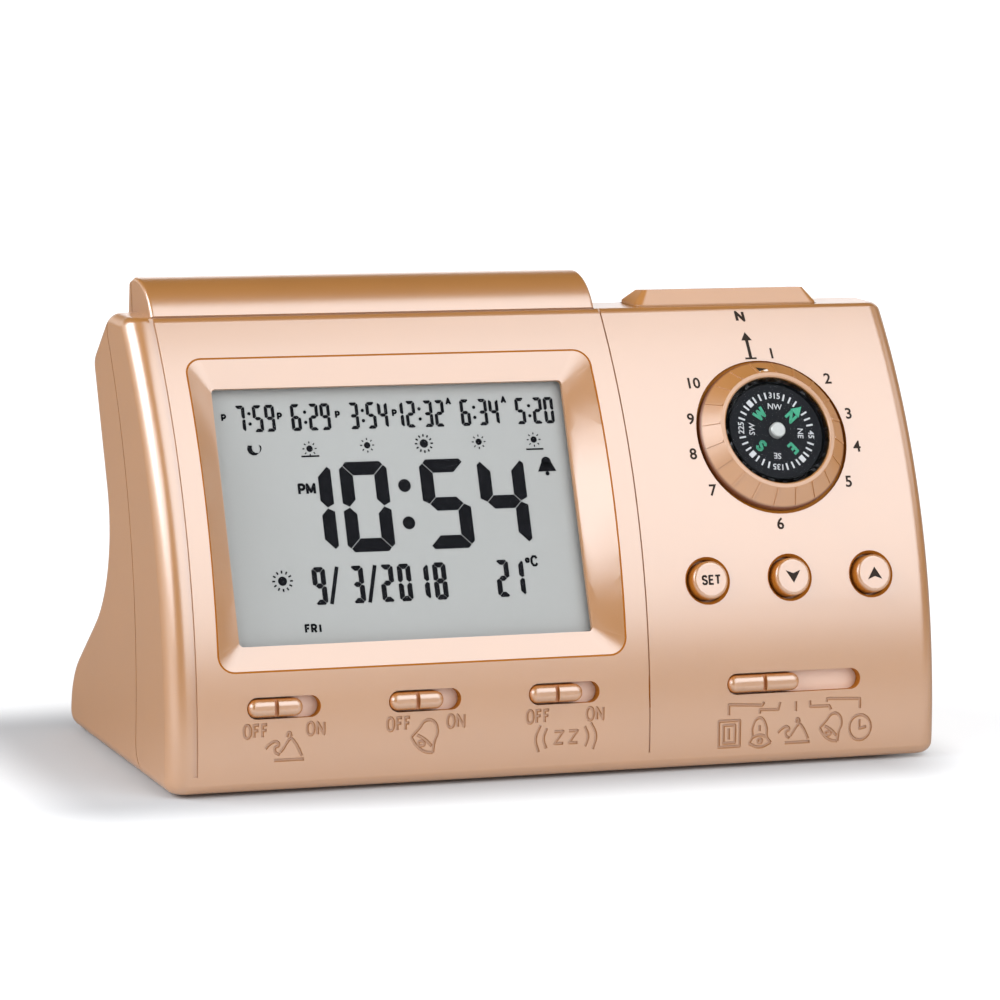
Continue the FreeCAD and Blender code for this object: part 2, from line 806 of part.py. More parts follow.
def displayPieces():
    lensTop = -windowDepth - lipThickness
    glassTop = trayBack
    glassBack = glassTop - glassSize[2]
    lens = plate(lensSize[0] / 2, lensSize[1] / 2, lensTop - lensSize[2], lensTop)
    glass = plate(glassSize[0] / 2, glassSize[1] / 2, glassBack, glassTop)
    backlight = plate(backlightSize[0] / 2, backlightSize[1] / 2, glassBack - backlightSize[2], glassBack)
    strips = [plate(stripSize[0] / 2, stripSize[1] / 2, holderBack, glassBack, 0, 0, side * stripY)
              for side in (-1, 1)]
    holder = plate(holderHalf[0], holderHalf[1], holderBack, trayBack, boardCorner)
    holder = holder.cut(plate(glassSize[0] / 2, glassSize[1] / 2, glassBack, trayBack + lap))
    holder = holder.cut(plate(backlightSize[0] / 2, backlightSize[1] / 2, holderBack - lap, glassBack + lap))
    for strip in strips:
        holder = holder.cut(strip)
    for side in (-1, 1):
        holder = holder.cut(rod(screwRadius, holderBack - lap, 0, side * boardScrewX, boardScrewLow))
    boardBack = holderBack - boardThickness
    middle = (mainBoardLow + mainBoardHigh) / 2
    halfHeight = (mainBoardHigh - mainBoardLow) / 2
    board = plate(mainBoardHalfWidth, halfHeight, boardBack, holderBack, boardCorner, 0, middle)
    screws = []
    for side in (-1, 1):
        for y in (boardScrewLow, boardScrewHigh):
            tip = holderBack + postPilotReach if y == boardScrewHigh else trayBack + pilotReach
            shank = rod(screwRadius, boardBack, tip, side * boardScrewX, y)
            board = board.cut(shank)
            head = rod(screwHeadRadius, boardBack - screwHeadHeight, boardBack, side * boardScrewX, y)
            screws.append(head.fuse(shank))
    chipBack = boardBack - chipSize[2]
    chip = plate(chipSize[0] / 2, chipSize[1] / 2, chipBack, boardBack, chipCorner, *chipPlace)
    crystalX, crystalY = crystalPlace
    crystalEnd = vec(crystalX, crystalY, boardBack - crystalRadius)
    crystal = Part.makeCylinder(crystalRadius, crystalLength, crystalEnd, vec(1, 0, 0))
    legOut, legLap, half = crystalLegs
    legs = box(crystalX - legOut, crystalX + legLap, crystalY - half, crystalY + half,
               crystalEnd.z, boardBack)
    sensor = turned(sensorProfile)
    sensor.translate(vec(sensorPlace[0], sensorPlace[1], boardBack))
    pieces = {
        "display_lens": lens,
        "display_glass": glass,
        "display_holder": holder,
        "backlight_panel": backlight,
        "contact_strips": Part.makeCompound(strips),
        "main_board": board,
        "board_screws": Part.makeCompound(screws),
        "driver_chip": chip,
        "quartz_crystal": crystal.fuse(legs),
        "temperature_sensor": sensor,
    }
    return {name: onFace(shape, displayX, displayLean) for name, shape in pieces.items()}


def knobPiece():
    slopeStart = (knobRadius - knobEdge[0], knobRimHeight + knobEdge[1])
    lipIn, lipUp = knobLipEdge
    knob = turned([
        (0, wellBottom), (wellRadius, wellBottom), (wellRadius, knobLow), (knobRadius, knobLow),
        (knobRadius, knobRimHeight), slopeStart, (knobLipRadius, knobTopHeight),
        (boreRadius + lipIn, knobTopHeight + lipUp), (boreRadius, knobTopHeight - lipUp),
        (boreRadius, wellFloor), (0, wellFloor),
    ])
    # Raised ribs divide the slope of the ring.
    rise = knobTopHeight - slopeStart[1]
    run = slopeStart[0] - knobLipRadius
    slope = math.degrees(math.atan2(rise, run))
    length = math.hypot(rise, run)
    ribs = []
    for k in range(ribCount):
        rib = box(ribEnds[0], length - ribEnds[1], -ribWidth / 2, ribWidth / 2, -ribSink, ribHeight)
        rib.rotate(vec(0, 0, 0), vec(0, 1, 0), slope)
        rib.translate(vec(knobLipRadius, 0, knobTopHeight))
        rib.rotate(vec(0, 0, 0), vec(0, 0, 1), 360 / ribCount * (k + 0.5))
        ribs.append(rib)
    return joined([knob] + ribs)


def wiperPiece():
    # The disc that traps the knob behind the shell, with spring fingers for the board.
    back = wellBottom - wiperThickness
    pieces = [rod(wiperRadius, back, wellBottom)]
    start, end = fingerEnds
    for k in range(fingerCount):
        finger = box(start, end, -fingerHalfWidth, fingerHalfWidth, back - fingerThickness, back)
        tip = box(end - fingerTip, end, -fingerHalfWidth, fingerHalfWidth, back - wiperFingerReach, back)
        for piece in (finger, tip):
            piece.rotate(vec(0, 0, 0), vec(0, 0, 1), 360 / fingerCount * k)
            pieces.append(piece)
    return joined(pieces)


def windowShell():
    # A thin domed window with a flat rim that stands on the cup.
    rimTop = cupTop + windowEdge
    inner = boreRadius - cupWall
    outerSphere = (boreRadius ** 2 + windowDome ** 2) / (2 * windowDome)
    outside = Part.makeSphere(outerSphere, vec(0, 0, rimTop + windowDome - outerSphere))
    crown = rimTop + windowDome - windowThickness
    rise = crown - cupTop
    innerSphere = (inner ** 2 + rise ** 2) / (2 * rise)
    inside = Part.makeSphere(innerSphere, vec(0, 0, crown - innerSphere))
    drum = rod(boreRadius, cupTop, rimTop + windowDome + lap)
    return drum.common(outside).cut(inside)


def compassPieces():
    innerRadius = boreRadius - cupWall
    cup = turned([(0, wellFloor), (boreRadius, wellFloor), (boreRadius, cupTop),
                  (innerRadius, cupTop), (innerRadius, cupFloor), (0, cupFloor)])
    footTop = cupFloor + pivotFootHeight
    pin = turned([(0, cupFloor), (pivotFootRadius, cupFloor), (pivotFootRadius, footTop),
                  (pivotRadius, footTop + pivotTaper), (pivotRadius, pivotTop - pivotPoint), (0, pivotTop)])
    magnetLow = cardLow - magnetThickness
    core = rod(hubRadius, magnetLow, hubTop)
    card = rod(cardRadius, cardLow, cardLow + cardThickness).cut(core)
    magnet = rod(magnetRadius, magnetLow, cardLow).cut(core)
    boreDepth = pivotTop + hubPlay
    hub = turned([
        (pivotRadius + pivotGap, magnetLow), (hubRadius, magnetLow), (hubRadius, hubTop - hubEdge),
        (hubRadius - hubEdge, hubTop), (0, hubTop), (0, boreDepth),
        (pivotRadius + pivotGap, boreDepth - pivotPoint),
    ])
    return {
        "compass_cup": cup,
        "compass_pivot": pin,
        "compass_window": windowShell(),
        "compass_card": card,
        "compass_hub": hub,
        "compass_magnet": magnet,
    }


def dialPieces():
    boardBack = dialBoardTop - smallBoardThickness
    board = plate(dialBoardHalf[0], dialBoardHalf[1], boardBack, dialBoardTop, boardCorner)
    pieces = {"selector_knob": knobPiece(), "selector_wiper": wiperPiece(), "dial_board": board}
    pieces.update(compassPieces())
    return {name: onFace(shape, dialX, dialLean) for name, shape in pieces.items()}


def buttonCap():
    # A cap with a rounded top edge, a flange behind the shell and a stem for the switch.
    cap = turned([
        (0, stemEnd), (stemRadius, stemEnd), (stemRadius, flangeTop - flangeThickness),
        (flangeRadius, flangeTop - flangeThickness), (flangeRadius, flangeTop), (capRadius, flangeTop),
        (capRadius, capHeight), (0, capHeight),
    ])
    rim = [edge for edge in cap.Edges if edge.Closed and edge.BoundBox.ZMin > capHeight - 0.01]
    return cap.makeFillet(capEdgeRadius, rim)


def keyPieces():
    pieces = {name: onFace(buttonCap(), x, buttonLean) for name, x in zip(buttonNames, buttonXs)}
    middle = buttonXs[1]
    boardBack = keyBoardTop - smallBoardThickness
    board = plate(keyBoardHalf[0], keyBoardHalf[1], boardBack, keyBoardTop, boardCorner)
    switches = []
    for x in buttonXs:
        switch = plate(keySwitchHalf, keySwitchHalf, keyBoardTop, switchTop, keySwitchCorner, x - middle)
        switches.append(switch.cut(rod(keySwitchBore, stemEnd - buttonTravel - stemPlay, 0, x - middle)))
    pieces["key_board"] = onFace(board, middle, buttonLean)
    pieces["key_switches"] = onFace(Part.makeCompound(switches), middle, buttonLean)
    return pieces


def gripPlace(length, slot):
    # Where the middle of a slider's grip rests, from the middle of its slot.
    return -(slot - length) / 2 + slotEndGap


def slider(length, slot, travel):
    # A round-nosed grip with a notch across it, on a carrier strip that fills the slot from
    # behind and ends in a tongue for the switch. Local x is 0 at the middle of the slot.
    x = gripPlace(length, slot)
    grip = stadium(length, sliderHeight, carrierTop, sliderProud, x)
    tops = [edge for edge in grip.Edges if edge.BoundBox.ZMin > sliderProud - 0.01]
    grip = grip.makeFillet(sliderHeight / 2 - sliderFlat, tops)
    notch = box(x - notchWidth / 2, x + notchWidth / 2, -notchLength / 2, notchLength / 2,
                sliderProud - notchDepth, sliderProud + lap)
    left = -slot / 2 - carrierLap
    right = slot / 2 + carrierLap
    carrierBack = carrierTop - carrierThickness
    carrier = box(left - travel, right, -carrierHeight / 2, carrierHeight / 2, carrierBack, carrierTop)
    tongueLength, tongueHeight, tongueReach = tongueSize
    tongue = box(x - tongueLength / 2, x + tongueLength / 2, -tongueHeight / 2, tongueHeight / 2,
                 carrierBack - tongueReach, carrierBack)
    return joined([grip, carrier, tongue]).cut(notch)


def slideSwitch(length, slot, travel):
    # The switch body on the board, slotted for the tongue's travel.
    clear = tongueSize[0] / 2 + tongueWellGap
    left = gripPlace(length, slot) - clear
    right = gripPlace(length, slot) + travel + clear
    margin = switchBodyMargin / 2
    body = box(left - margin, right + margin, -switchBodyHeight / 2, switchBodyHeight / 2,
               switchBoardTop, switchBodyTop)
    well = box(left, right, -tongueWellHeight / 2, tongueWellHeight / 2,
               switchBodyTop - tongueWellDepth, switchBodyTop)
    return body.cut(well)


def slidePieces():
    pieces = {}
    bodies = []
    for name, x in zip(slideNames, slideXs):
        pieces[name] = onFace(slider(sliderLength, slotLength, sliderTravel), x, slideLean)
        bodies.append(onFace(slideSwitch(sliderLength, slotLength, sliderTravel), x, slideLean))
    pieces["mode_slider"] = onFace(slider(modeSliderLength, modeSlotLength, modeTravel), modeX, slideLean)
    modeBody = slideSwitch(modeSliderLength, modeSlotLength, modeTravel)
    pieces["mode_switch"] = onFace(modeBody, modeX, slideLean)
    pieces["slide_switches"] = Part.makeCompound(bodies)
    left, right = switchBoardEnds
    boardBack = switchBoardTop - smallBoardThickness
    board = box(left, right, switchBoardLow, switchBoardHigh, boardBack, switchBoardTop)
    pieces["switch_board"] = onFace(board, 0, slideLean)
    return pieces


def padCrown():
    # The crown leans in from the shoulder on all sides, and its top falls to the back.
    middleY = (padFront + padBack) / 2
    halfLength = padLength / 2 - padEndSlope
    halfDepth = (padBack - padFront) / 2 - padSlope
    shoulder = plate(padLength / 2, (padBack - padFront) / 2, 0, padShoulder, padCorner)
    crest = plate(halfLength, halfDepth, -1, 0, padCrestCorner)
    rings = [max(part.Faces, key=lambda face: face.CenterOfMass.z).OuterWire for part in (shoulder, crest)]
    fall = math.degrees(math.atan2(padCrestFront - padCrestBack, 2 * halfDepth))
    rings[1].rotate(vec(0, 0, 0), vec(1, 0, 0), -fall)
    rings[1].translate(vec(0, 0, (padCrestFront + padCrestBack) / 2))
    crown = Part.makeLoft(rings, True, True)
    crown.translate(vec(padX, middleY, 0))
    return crown


def lightPieces():
    # A bar with a sloping crown, a flange under the top wall, and a stem.
    middleY = (padFront + padBack) / 2
    foot = padOutline(0, padFlangeBottom, padShoulder)
    flange = padOutline(padFlange, padFlangeBottom, padFlangeTop)
    stem = rod(stemRadius, padStemBottom, padFlangeBottom, padX, middleY)
    button = joined([foot, padCrown(), flange, stem])
    left, right = lightBoardEnds
    board = box(left, right, middleY - lightBoardHalfDepth, middleY + lightBoardHalfDepth,
                lightBoardTop - smallBoardThickness, lightBoardTop)
    half = keySwitchHalf
    switch = plate(half, half, lightBoardTop, lightSwitchTop, keySwitchCorner, padX, middleY)
    well = rod(keySwitchBore, padStemBottom - padTravel - stemPlay, lightSwitchTop, padX, middleY)
    switch = switch.cut(well)
    return {"light_button": button, "light_board": board, "light_switch": switch}


def speakerPieces():
    face = -wall
    back = face - speakerDepth
    mouth = speakerRadius - speakerRimWidth
    floor = back + basketWall
    basket = turned([
        (mouth, face), (speakerRadius, face), (speakerRadius, face - basketRim),
        (speakerMagnetRadius + basketNeck, back), (0, back), (0, floor), (speakerMagnetRadius, floor),
        (mouth, face - basketLip),
    ])
    coneFloor = back + coneFloorLift
    coneTop = coneFloor + coneThickness
    cone = turned([
        (mouth, face - coneDrop), (mouth, face - coneDrop - coneThickness), (coneFloorRadius, coneFloor),
        (0, coneFloor), (0, coneTop), (coneFloorRadius - coneThickness / 2, coneTop),
    ])
    magnet = rod(speakerMagnetRadius, back - speakerMagnetHeight, back)
    pieces = {"speaker_basket": basket, "speaker_cone": cone, "speaker_magnet": magnet}
    return {name: onRearWall(shape, speakerX, speakerZ) for name, shape in pieces.items()}


def caseScrews():
    screws = []
    for x, z in screwPlaces():
        seat = seamAt(z) + screwFloor
        top = seat + headHeight
        head = rodBack(headRadius, x, z, seat, top)
        shank = rodBack(shankRadius, x, z, seamAt(z) - pilotDepth + screwTipGap, seat)
        screw = head.fuse(shank)
        for halfX, halfZ in [(crossHalf, crossHalfWidth), (crossHalfWidth, crossHalf)]:
            screw = screw.cut(box(x - halfX, x + halfX, top - crossDepth, top + lap, z - halfZ, z + halfZ))
        screws.append(screw)
    return Part.makeCompound(screws)


def rubberFeet():
    feet = []
    for x in footXs:
        for y in footYs:
            foot = rod(footRadius, -footHeight, footSink, x, y)
            rim = [edge for edge in foot.Edges if edge.Closed and edge.BoundBox.ZMax < -footHeight + 0.01]
            feet.append(foot.makeChamfer(footChamfer, rim))
    return Part.makeCompound(feet)


def saveNode(name, shape):
    placed = shape.copy()
    placed.translate(vec(0, -caseDepth / 2, footHeight))
    placed.exportStep("parts/" + name + ".step")
    print(name, "solids", len(placed.Solids), "valid", placed.isValid(), "volume", round(placed.Volume, 1))


def main():
    os.makedirs("parts", exist_ok=True)
    outer = caseSolid(0).fuse(hoodSolid(0)).removeSplitter()
    inner = caseSolid(wall).fuse(hoodSolid(hoodWall)).removeSplitter()
    region = frontRegion()
    nodes = {
        "front_shell": frontShell(outer, inner, region),
        "rear_shell": rearShell(outer, inner, region),
        "battery_door": batteryDoor(outer),
        "battery_front": battery(cellYs()[0], 1),
        "battery_rear": battery(cellYs()[1], -1),
        "battery_contacts": batteryContacts(),
        "battery_springs": batterySprings(),
        "case_screws": caseScrews(),
        "rubber_feet": rubberFeet(),
    }
    nodes.update(displayPieces())
    nodes.update(dialPieces())
    nodes.update(keyPieces())
    nodes.update(slidePieces())
    nodes.update(lightPieces())
    nodes.update(speakerPieces())
    for name, shape in nodes.items():
        saveNode(name, shape)


main()
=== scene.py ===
import math
import bmesh
import bpy
from mathutils import Matrix, Vector
from mathutils.kdtree import KDTree


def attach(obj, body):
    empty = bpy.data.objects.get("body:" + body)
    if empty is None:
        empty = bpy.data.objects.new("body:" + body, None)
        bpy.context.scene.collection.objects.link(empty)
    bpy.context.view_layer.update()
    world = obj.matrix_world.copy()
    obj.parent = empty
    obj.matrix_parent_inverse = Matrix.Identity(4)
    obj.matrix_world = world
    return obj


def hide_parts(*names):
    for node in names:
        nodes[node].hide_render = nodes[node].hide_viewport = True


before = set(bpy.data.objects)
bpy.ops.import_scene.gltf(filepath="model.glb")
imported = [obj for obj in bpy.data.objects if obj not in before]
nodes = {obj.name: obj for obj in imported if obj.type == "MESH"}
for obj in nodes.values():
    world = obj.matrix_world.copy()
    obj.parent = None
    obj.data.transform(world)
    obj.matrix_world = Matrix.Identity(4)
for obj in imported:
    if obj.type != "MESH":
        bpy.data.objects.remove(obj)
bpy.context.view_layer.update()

scene = bpy.context.scene
scene.view_settings.view_transform = "Standard"
print("frame loaded:", len(nodes), "nodes")

mm = 0.001
face = {"radius": 124.0, "axisY": 93.2, "axisZ": -1.6}  # the curved front, round a level axis
faceAxis = Vector((0, face["axisY"], face["axisZ"]))


# places on the curved face, in millimetres: x across, y up the face, z out of it

def outward(lean):
    a = math.radians(lean)
    return Vector((0, -math.cos(a), math.sin(a)))


def facePlace(x, lean, lift=0.0):
    out = outward(lean)
    up = Vector((0, out.z, -out.y))
    place = Matrix((Vector((1, 0, 0)), up, out)).transposed().to_4x4()
    place.translation = Vector((x, 0, 0)) + faceAxis + out * (face["radius"] + lift)
    return place


def wrapOnFace(bm, x, lean):
    for vert in bm.verts:
        across, along, height = vert.co
        a = math.radians(lean) + along / face["radius"]
        reach = face["radius"] + height
        vert.co = (x + across, face["axisY"] - reach * math.cos(a), face["axisZ"] + reach * math.sin(a))


# making pieces

drawing = {
    "weld": 0.0005,       # mm
    "capital": 0.72,      # a capital's height, as a share of the type's size
    "letterSteps": 3,
    "strokeSteps": 5,
    "strokeSides": 1,
    "easedBelow": 40,     # lines of fewer points are eased at their corners
    "ease": (0.12, 0.3),  # share of the stroke's width, and the most of a run
    "discSides": 24,
    "dotSides": 12,
}


def addTo(bm, part):
    mesh = bpy.data.meshes.new("part")
    part.to_mesh(mesh)
    part.free()
    bm.from_mesh(mesh)
    bpy.data.meshes.remove(mesh)


def fromCurve(data):
    obj = bpy.data.objects.new("drawn", data)
    scene.collection.objects.link(obj)
    bpy.context.view_layer.update()
    mesh = bpy.data.meshes.new_from_object(obj)
    bm = bmesh.new()
    bm.from_mesh(mesh)
    bpy.data.objects.remove(obj)
    bpy.data.curves.remove(data)
    bpy.data.meshes.remove(mesh)
    bmesh.ops.remove_doubles(bm, verts=bm.verts, dist=drawing["weld"])
    return bm


def letters(words, height, thick, bold):
    data = bpy.data.curves.new("letters", "FONT")
    data.body = words
    data.size = height / drawing["capital"]
    data.offset = bold
    data.extrude = thick / 2
    data.resolution_u = drawing["letterSteps"]
    bm = fromCurve(data)
    low = [min(vert.co[i] for vert in bm.verts) for i in range(2)]
    high = [max(vert.co[i] for vert in bm.verts) for i in range(2)]
    middle = Vector(((low[0] + high[0]) / 2, (low[1] + high[1]) / 2, -thick / 2))
    bmesh.ops.translate(bm, vec=-middle, verts=bm.verts)
    return bm


def eased(points, closed, width):  # points added beside each corner keep the strokes full between them
    reach, most = width * drawing["ease"][0], drawing["ease"][1]
    longer = [points[0]]
    for start, end in zip(points, points[1:] + points[:1] if closed else points[1:]):
        start, end = Vector((*start, 0)), Vector((*end, 0))
        share = min(reach / (end - start).length, most)
        longer += [start.lerp(end, share), start.lerp(end, 1 - share), end]
    return longer[:-1] if closed else longer


def strokes(lines, width):  # round tubes along lines of points, which may leave out their height
    data = bpy.data.curves.new("strokes", "CURVE")
    data.dimensions = "3D"
    data.bevel_depth = width / 2
    data.bevel_resolution = drawing["strokeSides"]
    data.resolution_u = drawing["strokeSteps"]
    data.use_fill_caps = True
    for smooth, closed, points in lines:
        if not smooth and len(points) < drawing["easedBelow"]:
            points = eased(points, closed, width)
        spline = data.splines.new("BEZIER" if smooth else "POLY")
        spots = spline.bezier_points if smooth else spline.points
        spots.add(len(points) - 1)
        for spot, (x, y, *z) in zip(spots, points):
            spot.co = (x, y, sum(z)) if smooth else (x, y, sum(z), 1)
            if smooth:
                spot.handle_left_type = spot.handle_right_type = "AUTO"
        spline.use_cyclic_u = closed
    return fromCurve(data)


def plate(bm, points, thick):  # a flat shape of a few corners, made solid
    front = bm.faces.new([bm.verts.new((*point, 0)[:3]) for point in points])
    grown = bmesh.ops.extrude_face_region(bm, geom=[front])["geom"]
    lifted = [item for item in grown if isinstance(item, bmesh.types.BMVert)]
    bmesh.ops.translate(bm, vec=(0, 0, thick), verts=lifted)


def finishPiece(bm, name, body, material):
    bmesh.ops.scale(bm, vec=(mm, mm, mm), verts=bm.verts)
    bmesh.ops.recalc_face_normals(bm, faces=bm.faces)
    for side in bm.faces:
        side.smooth = False
    mesh = bpy.data.meshes.new(name)
    bm.to_mesh(mesh)
    bm.free()
    mesh.materials.append(material)
    piece = bpy.data.objects.new(name, mesh)
    scene.collection.objects.link(piece)
    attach(piece, body)
    return piece


# making node trees

def feed(tree, socket, value):  # a link from another socket, or a plain value
    if isinstance(value, bpy.types.NodeSocket):
        tree.links.new(value, socket)
    else:
        socket.default_value = value


def worked(tree, operation, *values):  # a Math node
    node = tree.nodes.new("ShaderNodeMath")
    node.operation = operation
    for socket, value in zip(node.inputs, values):
        feed(tree, socket, value)
    return node.outputs["Value"]


def vectorWorked(tree, operation, *values):
    node = tree.nodes.new("ShaderNodeVectorMath")
    node.operation = operation
    for socket, value in zip(node.inputs, values):
        feed(tree, socket, value)
    return node.outputs["Value" if operation in ("LENGTH", "DISTANCE", "DOT_PRODUCT") else "Vector"]


def ranged(tree, value, given, wanted=(0, 1), smooth=False):  # one range of values made another
    node = tree.nodes.new("ShaderNodeMapRange")
    if smooth:
        node.interpolation_type = "SMOOTHSTEP"
    for socket, part in zip(node.inputs, (value, *given, *wanted)):
        feed(tree, socket, part)
    return node.outputs["Result"]


def mixColour(tree, factor, a, b):  # of the node's sockets, in 6 and 7 and out 2 are the colours
    mix = tree.nodes.new("ShaderNodeMix")
    mix.data_type = "RGBA"
    for socket, value in ((mix.inputs["Factor"], factor), (mix.inputs[6], a), (mix.inputs[7], b)):
        feed(tree, socket, value)
    return mix.outputs[2]


def noiseOn(tree, place, scale, detail):
    noise = tree.nodes.new("ShaderNodeTexNoise")
    noise.inputs["Scale"].default_value = scale
    noise.inputs["Detail"].default_value = detail
    tree.links.new(place, noise.inputs["Vector"])
    return noise.outputs["Fac"]


def newMaterial(name):
    mat = bpy.data.materials.new(name)
    mat.use_nodes = True
    tree = mat.node_tree
    place = tree.nodes.new("ShaderNodeTexCoord").outputs["Object"]
    return mat, tree, tree.nodes["Principled BSDF"].inputs, place


def grey(value):
    return value, value, value, 1


# camera

camera = {
    "place": (-345.4, -853.8, 210.9),  # mm
    "heading": 21.9,                   # degrees, turned right from straight back
    "fall": 10.17,
    "roll": 2.0,
    "lens": 182.3,
    "sensor": 36.0,
    "farthest": 20,                    # metres
}


def makeCamera(v):
    data = bpy.data.cameras.new("camera")
    data.lens = v["lens"]
    data.sensor_width = v["sensor"]
    data.clip_end = v["farthest"]
    heading = math.radians(v["heading"])
    fall = math.radians(v["fall"])
    roll = math.radians(v["roll"])
    look = Vector((math.sin(heading) * math.cos(fall), math.cos(heading) * math.cos(fall), -math.sin(fall)))
    right = look.cross(Vector((0, 0, 1))).normalized()
    up = right.cross(look)
    rolledRight = right * math.cos(roll) + up * math.sin(roll)
    rolledUp = up * math.cos(roll) - right * math.sin(roll)
    place = Matrix((rolledRight, rolledUp, -look)).transposed().to_4x4()
    place.translation = Vector(v["place"]) * mm
    obj = bpy.data.objects.new("camera", data)
    obj.matrix_world = place
    scene.collection.objects.link(obj)
    scene.camera = obj


makeCamera(camera)
print("camera set")


# studio: soft boxes, a pale floor with a painted contact shadow, and a world that is darker overhead

studio = {  # metres and watts
    "aim": (0, 0, 0.045),
    "boxes": {
        "keyLight": {"place": (0.43, -0.87, 0.86), "size": (1.25, 1.45), "power": 14.4},
        "sideLight": {"place": (-1.04, -0.55, 0.60), "size": (0.75, 0.65), "power": 4.8},
        "fillLight": {"place": (-1.05, 0.15, 0.70), "size": (0.9, 0.7), "power": 11.5},
        "backLight": {"place": (0.68, 1.17, 0.36), "size": (1.2, 0.4), "power": 2.2},
        "rimLight": {"place": (1.08, -0.15, 0.55), "size": (0.5, 0.5), "power": 0.9},
    },
    "tint": (0.965, 1.0, 1.05),  # all the lights
    "ambient": 0.27,
    "horizon": (0.85, 0.84, 0.83),
    "overhead": (0.10, 0.07, 0.05),
    "overheadFrom": 0.12,
    "rise": (0.15, -0.20, 1.0),  # the sky darkens this way
}


def softBox(name, v):
    data = bpy.data.lights.new(name, "AREA")
    data.shape = "RECTANGLE"
    data.size, data.size_y = v["size"]
    data.energy = v["power"]
    data.color = studio["tint"]
    obj = bpy.data.objects.new(name, data)
    obj.location = v["place"]
    obj.rotation_euler = (Vector(studio["aim"]) - Vector(v["place"])).to_track_quat("-Z", "Y").to_euler()
    scene.collection.objects.link(obj)


def makeWorld(v):
    world = bpy.data.worlds.new("studio")
    world.use_nodes = True
    scene.world = world
    tree = world.node_tree
    path = tree.nodes.new("ShaderNodeLightPath").outputs
    facing = tree.nodes.new("ShaderNodeTexCoord").outputs["Generated"]
    sky = tree.nodes.new("ShaderNodeValToRGB")
    tree.links.new(vectorWorked(tree, "DOT_PRODUCT", facing, v["rise"]), sky.inputs["Fac"])
    stops = ((0.0, v["horizon"]), (v["overheadFrom"], v["overhead"]))
    for stop, (at, colour) in zip(sky.color_ramp.elements, stops):
        stop.position = at
        stop.color = (*colour, 1)
    lit = mixColour(tree, path["Is Glossy Ray"], grey(v["ambient"]), sky.outputs["Color"])
    through = mixColour(tree, path["Is Transmission Ray"], lit, grey(1))
    seen = mixColour(tree, path["Is Camera Ray"], through, grey(1))
    tree.links.new(seen, tree.nodes["Background"].inputs["Color"])


paper = {  # metres
    "half": 6,
    "rough": 0.9,
    "colour": 0.90,
    "seenColour": 0.53,  # in the picture, less what it gives off
    "glow": (0.57, 0.92),  # what it gives off in the picture, close to the object and far from it
    "glowReach": (0.15, 1.10),
    "foot": {"place": (-0.012, 0, 0), "half": (0.074, 0.030, 0), "reach": 0.024},  # painted contact shadow: the glow fades out towards the object's footprint
    "mirrorGlow": 0.22,  # what shiny surfaces see of it in front
    "mirrorColour": 0.28,  # and behind the object, darker than the floor is: painted shade in reflections
    "behind": (-0.15, 0.05),
}


def makeFloor(v):
    bm = bmesh.new()
    bmesh.ops.create_grid(bm, x_segments=1, y_segments=1, size=v["half"])
    mesh = bpy.data.meshes.new("floor")
    bm.to_mesh(mesh)
    bm.free()
    mat, tree, shader, place = newMaterial("paperWhite")
    shader["Roughness"].default_value = v["rough"]
    path = tree.nodes.new("ShaderNodeLightPath").outputs
    split = tree.nodes.new("ShaderNodeSeparateXYZ")
    tree.links.new(place, split.inputs["Vector"])
    seen = worked(tree, "MAXIMUM", path["Is Camera Ray"], path["Is Transmission Ray"])
    # painted shade in reflections: shiny surfaces see the floor darker behind the object
    behind = ranged(tree, split.outputs["Y"], v["behind"], smooth=True)
    shadeInMirrors = worked(tree, "MULTIPLY", behind, path["Is Glossy Ray"])
    tone = mixColour(tree, shadeInMirrors, grey(v["colour"]), grey(v["mirrorColour"]))
    tree.links.new(mixColour(tree, seen, tone, grey(v["seenColour"])), shader["Base Color"])
    sweep = ranged(tree, vectorWorked(tree, "LENGTH", place), v["glowReach"], v["glow"], smooth=True)
    # painted contact shadow: no glow at the object's footprint, full glow a reach away from it
    beside = vectorWorked(tree, "SUBTRACT", place, v["foot"]["place"])
    beside = vectorWorked(tree, "SUBTRACT", vectorWorked(tree, "ABSOLUTE", beside), v["foot"]["half"])
    beside = vectorWorked(tree, "LENGTH", vectorWorked(tree, "MAXIMUM", beside, (0, 0, 0)))
    shown = worked(tree, "MULTIPLY", seen, ranged(tree, beside, (0, v["foot"]["reach"]), smooth=True))
    mirrored = worked(tree, "MULTIPLY", path["Is Glossy Ray"], v["mirrorGlow"])
    mirrored = worked(tree, "MULTIPLY", mirrored, worked(tree, "SUBTRACT", 1.0, behind))
    shader["Emission Color"].default_value = grey(1)
    tree.links.new(worked(tree, "MULTIPLY_ADD", shown, sweep, mirrored), shader["Emission Strength"])
    mesh.materials.append(mat)
    floor = bpy.data.objects.new("floor", mesh)
    scene.collection.objects.link(floor)


for name, values in studio["boxes"].items():
    softBox(name, values)
makeWorld(studio)
makeFloor(paper)
print("studio set")


# finishes: patch and grain are scales of noise, bump is in mm

